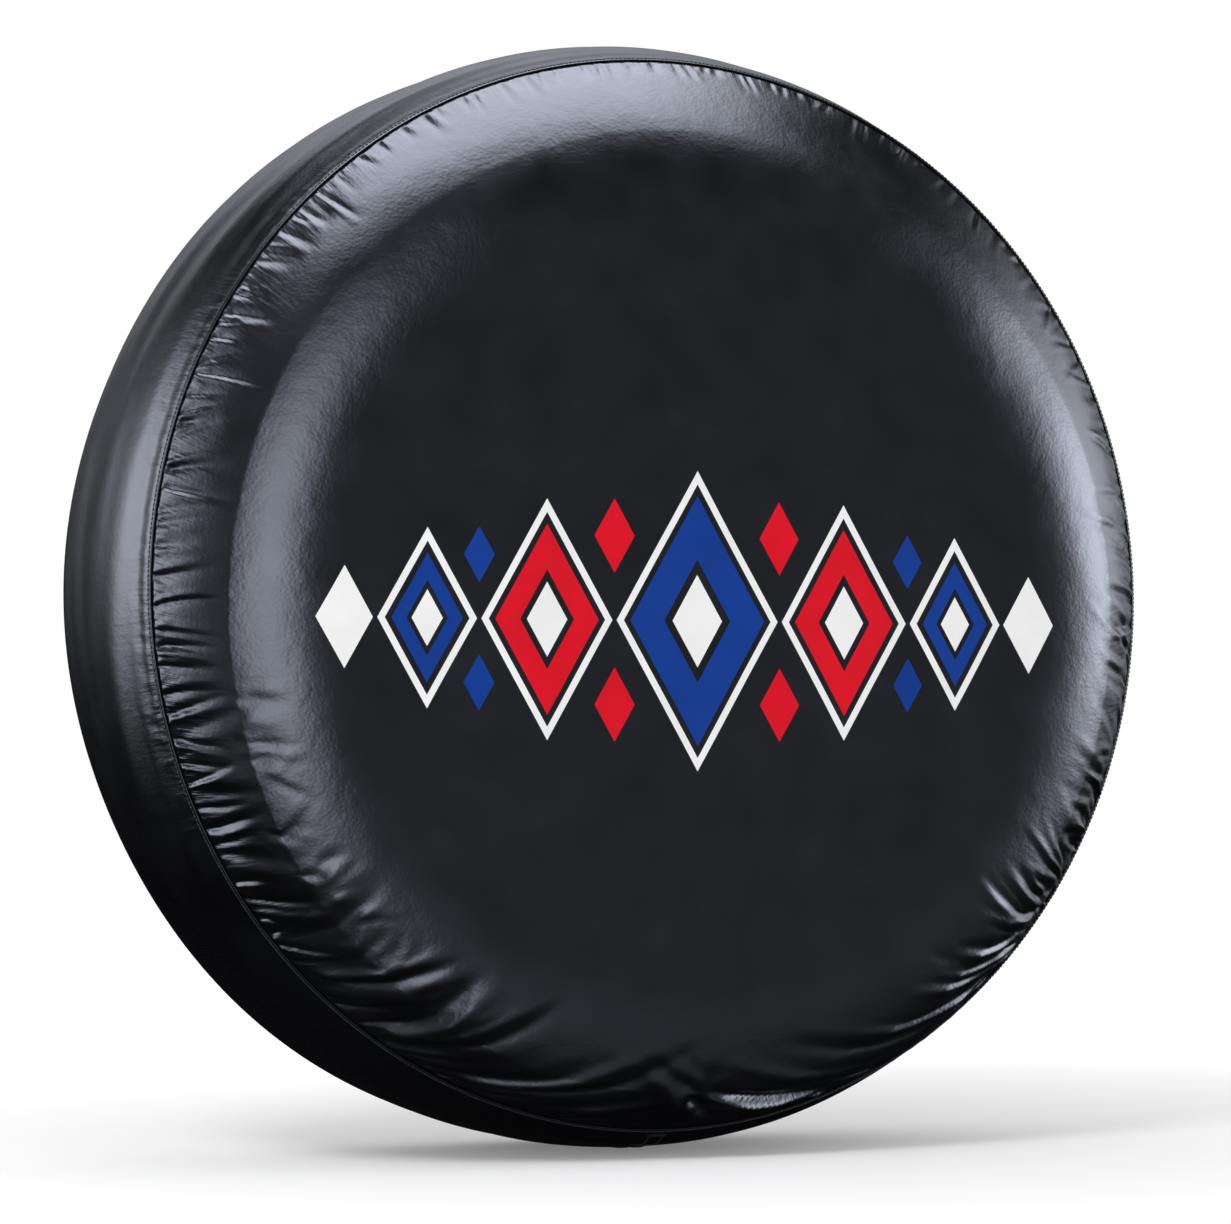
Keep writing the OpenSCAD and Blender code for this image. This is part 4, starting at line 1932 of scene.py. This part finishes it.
@dataclass(frozen=True)
class Glow:
    """A soft patch of light on the studio's drape, placed by the direction in which the cover sees it.

    Angles are in degrees. A crisp patch is level inside and falls off at its edge; a soft one fades from its
    middle.
    """

    azimuth: float
    elevation: float
    half_width: float
    half_height: float
    radiance: float
    crispness: float = 1.0

    def axes(self) -> tuple[Vector, Vector, Vector]:
        """Gives the patch's directions.

        Returns:
            Unit vectors to the patch, across it and up it.
        """
        a, e = math.radians(self.azimuth), math.radians(self.elevation)
        ahead = Vector((math.sin(a) * math.cos(e), -math.cos(a) * math.cos(e), math.sin(e)))
        across = Vector((math.cos(a), math.sin(a), 0))
        return ahead, across, ahead.cross(across)

    def brightness(self, tree: Tree, direction: Socket) -> Socket:
        """Adds the nodes of the patch.

        Args:
            tree: The drape's node tree.
            direction: Direction from the cover, as a unit vector.

        Returns:
            The patch's radiance in that direction.
        """
        ahead, across, up = self.axes()
        powers = []
        for axis, half in ((across, self.half_width), (up, self.half_height)):
            scaled = tuple(axis / math.sin(math.radians(half)))
            off = add_node(tree, "ShaderNodeVectorMath", {0: direction, 1: scaled}, operation="DOT_PRODUCT")
            off = off.outputs["Value"]
            square = add_node(tree, "ShaderNodeMath", {0: off, 1: off}, operation="MULTIPLY")
            powers.append(add_node(tree, "ShaderNodeMath", {0: square, 1: self.crispness}, operation="POWER"))
        reach = add_node(tree, "ShaderNodeMath", dict(enumerate(powers)), operation="ADD")
        fade = add_node(tree, "ShaderNodeMath", {0: 1 / math.e, 1: reach}, operation="POWER")
        front = {0: direction, 1: tuple(ahead)}
        front = add_node(tree, "ShaderNodeVectorMath", front, operation="DOT_PRODUCT").outputs["Value"]
        facing = add_node(tree, "ShaderNodeMath", {0: front, 1: 0.0}, operation="GREATER_THAN")
        lit = add_node(tree, "ShaderNodeMath", {0: fade, 1: facing}, operation="MULTIPLY")
        return add_node(tree, "ShaderNodeMath", {0: lit, 1: self.radiance}, operation="MULTIPLY").outputs[0]


@dataclass
class Studio:
    """Camera, lamp, white surroundings, pale floor, and a drape with soft lights that the vinyl mirrors."""

    lens: float = 131.6
    eye: tuple[float, float, float] = (-1.189, -2.788, -0.109)
    look: tuple[float, float, float] = (0.3904, 0.9201, 0.0325)
    floor_z: float = -0.3712
    ambient: float = 0.73
    key_azimuth: float = -48.0
    key_elevation: float = 42.0
    key_radiance: float = 10.6
    key_size: float = 1.1
    key_distance: float = 3.4
    drape_r: float = 8.0
    drape_level: float = 0.006
    glow_colour: str = "#EEF3FF"
    glows: tuple[Glow, ...] = (
        Glow(0, 88, 29, 25.6, 7.0, 3.0),  # overhead
        Glow(160, 45, 21, 19, 0.75, 2.0),  # behind, high up
        Glow(170, 22, 24, 13, 0.4),  # behind, lower
        Glow(-103, 12, 26, 21, 4.6, 1.8),  # from the left, the main one
        Glow(-133, 12, 19, 12, 1.1),  # from the left and behind
        Glow(-18, 5, 13.5, 22, 4.6, 1.5),  # beside the camera
        Glow(70, 7, 13, 15, 8.2, 1.2),  # from the right, the main one
        Glow(91, 12, 20, 16, 2.6, 1.4),  # from the right, wider
        Glow(126, 5, 22, 11, 0.4),  # from the right and behind
        Glow(23, 2, 45, 34, 0.19),  # a wide faint one in front
        Glow(8, -26, 34, 14, 0.3),  # from below in front
        Glow(-60, 0, 16, 24, 0.35),  # from the left and in front
    )

    def build(self) -> None:
        """Sets up everything round the object."""
        self._camera()
        self._world()
        self._floor()
        self._drape()
        self._key_lamp()
        bpy.context.scene.view_settings.view_transform = "Standard"

    def _camera(self) -> None:
        """Puts the camera where the photograph was taken from."""
        data = bpy.data.cameras.new("camera")
        data.lens = self.lens
        data.sensor_width = 36
        camera = bpy.data.objects.new("camera", data)
        camera.location = self.eye
        camera.rotation_mode = "QUATERNION"
        camera.rotation_quaternion = Vector(self.look).to_track_quat("-Z", "Y")
        bpy.context.scene.collection.objects.link(camera)
        bpy.context.scene.camera = camera

    def _shows(self, tree: Tree) -> Socket:
        """Adds nodes that are 1 for what the camera, gloss or glass looks at, and 0 for light on matt things.

        Args:
            tree: The node tree.

        Returns:
            The result's socket.
        """
        path = add_node(tree, "ShaderNodeLightPath")
        seen = path.outputs["Is Camera Ray"]
        for ray in ("Is Glossy Ray", "Is Transmission Ray"):
            parts = {0: seen, 1: path.outputs[ray]}
            seen = add_node(tree, "ShaderNodeMath", parts, operation="MAXIMUM").outputs[0]
        return seen

    def _world(self) -> None:
        """Makes the surroundings: white to look at, and a plain level for the light that falls on things."""
        world = bpy.data.worlds.new("surroundings")
        bpy.context.scene.world = world
        world.use_nodes = True
        tree = world.node_tree
        tree.nodes.clear()
        levels = {"Value": self._shows(tree), "To Min": self.ambient, "To Max": 1.0}
        level = add_node(tree, "ShaderNodeMapRange", levels)
        backdrop = add_node(tree, "ShaderNodeBackground", {"Color": (1, 1, 1, 1), "Strength": level})
        add_node(tree, "ShaderNodeOutputWorld", {"Surface": backdrop})

    def _floor(self) -> None:
        """Lays the pale floor that the cover stands on; it keeps the shadow."""
        bpy.ops.object.select_all(action="DESELECT")
        bpy.ops.mesh.primitive_plane_add(size=60, location=(0, 0, self.floor_z))
        floor = bpy.context.active_object
        floor.name = "pale_floor"
        paint = bpy.data.materials.new("white_studio_floor")
        paint.use_nodes = True
        tree = paint.node_tree
        shader = tree.nodes["Principled BSDF"]
        shader.inputs["Base Color"].default_value = linear("#F7F7F8")
        shader.inputs["Roughness"].default_value = 0.9
        shader.inputs["Specular IOR Level"].default_value = 0.0
        shader.inputs["Emission Color"].default_value = (1, 1, 1, 1)
        # The lamp's light thins out between 0.35 and 1.15 m from the cover's middle, so a white that lights
        # nothing else grows there instead.
        place = add_node(tree, "ShaderNodeTexCoord").outputs["Object"]
        away = add_node(tree, "ShaderNodeVectorMath", {0: place}, operation="LENGTH").outputs["Value"]
        reach = {"Value": away, "From Min": 0.35, "From Max": 1.15, "To Min": 0.18, "To Max": 0.34}
        white = add_node(tree, "ShaderNodeMapRange", reach, interpolation_type="SMOOTHSTEP").outputs["Result"]
        glow = add_node(tree, "ShaderNodeMath", {0: self._shows(tree), 1: white}, operation="MULTIPLY")
        tree.links.new(glow.outputs[0], shader.inputs["Emission Strength"])
        floor.data.materials.append(paint)
        floor.visible_glossy = False

    def _drape(self) -> None:
        """Hangs a dark drape with soft lights all round, which only gloss sees, so that black stays black."""
        bpy.ops.object.select_all(action="DESELECT")
        bpy.ops.mesh.primitive_uv_sphere_add(
            segments=48, ring_count=24, radius=self.drape_r, location=(0, 0, 0)
        )
        drape = bpy.context.active_object
        drape.name = "dark_drape"
        drape.data.shade_smooth()
        cloth = bpy.data.materials.new("dark_studio_drape")
        cloth.use_nodes = True
        tree = cloth.node_tree
        tree.nodes.clear()
        place = add_node(tree, "ShaderNodeTexCoord").outputs["Object"]
        direction = add_node(tree, "ShaderNodeVectorMath", {0: place}, operation="NORMALIZE").outputs[0]
        total: Node | float = self.drape_level
        for glow in self.glows:
            parts = {0: glow.brightness(tree, direction), 1: total}
            total = add_node(tree, "ShaderNodeMath", parts, operation="ADD")
        light = add_node(tree, "ShaderNodeEmission", {"Color": linear(self.glow_colour), "Strength": total})
        add_node(tree, "ShaderNodeOutputMaterial", {"Surface": light})
        drape.data.materials.append(cloth)
        drape.visible_camera = False
        drape.visible_diffuse = False
        drape.visible_shadow = False
        drape.visible_transmission = False

    def _key_lamp(self) -> None:
        """Puts up the lamp that gives the matt parts their light and the floor its shadow."""
        lamp = bpy.data.lights.new("key_softbox", "AREA")
        lamp.shape = "SQUARE"
        lamp.size = self.key_size
        lamp.energy = self.key_radiance * math.pi * lamp.size**2
        key = bpy.data.objects.new("key_softbox", lamp)
        ahead = Glow(self.key_azimuth, self.key_elevation, 1, 1, 1).axes()[0]
        key.location = ahead * self.key_distance
        key.rotation_mode = "QUATERNION"
        key.rotation_quaternion = ahead.to_track_quat("Z", "Y")
        key.visible_glossy = False
        bpy.context.scene.collection.objects.link(key)


def main() -> None:
    """Builds the sub-assemblies in order and reports each piece."""
    logging.basicConfig(level=logging.INFO, format="%(name)s: %(message)s")
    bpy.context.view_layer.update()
    Studio().build()
    gathers = Gathers()
    finishes = Finishes()
    sub_assemblies = [
        FacePanel(gathers, finishes),
        SideBand(gathers, finishes),
        RearHem(gathers, finishes),
        CareLabel(finishes),
        PrintedRow(gathers, finishes),
    ]
    for sub_assembly in sub_assemblies:
        for piece in sub_assembly.build():
            log.info("%s: %s, %d faces", type(sub_assembly).__name__, piece.name, len(piece.data.polygons))


if __name__ == "__main__":
    main()
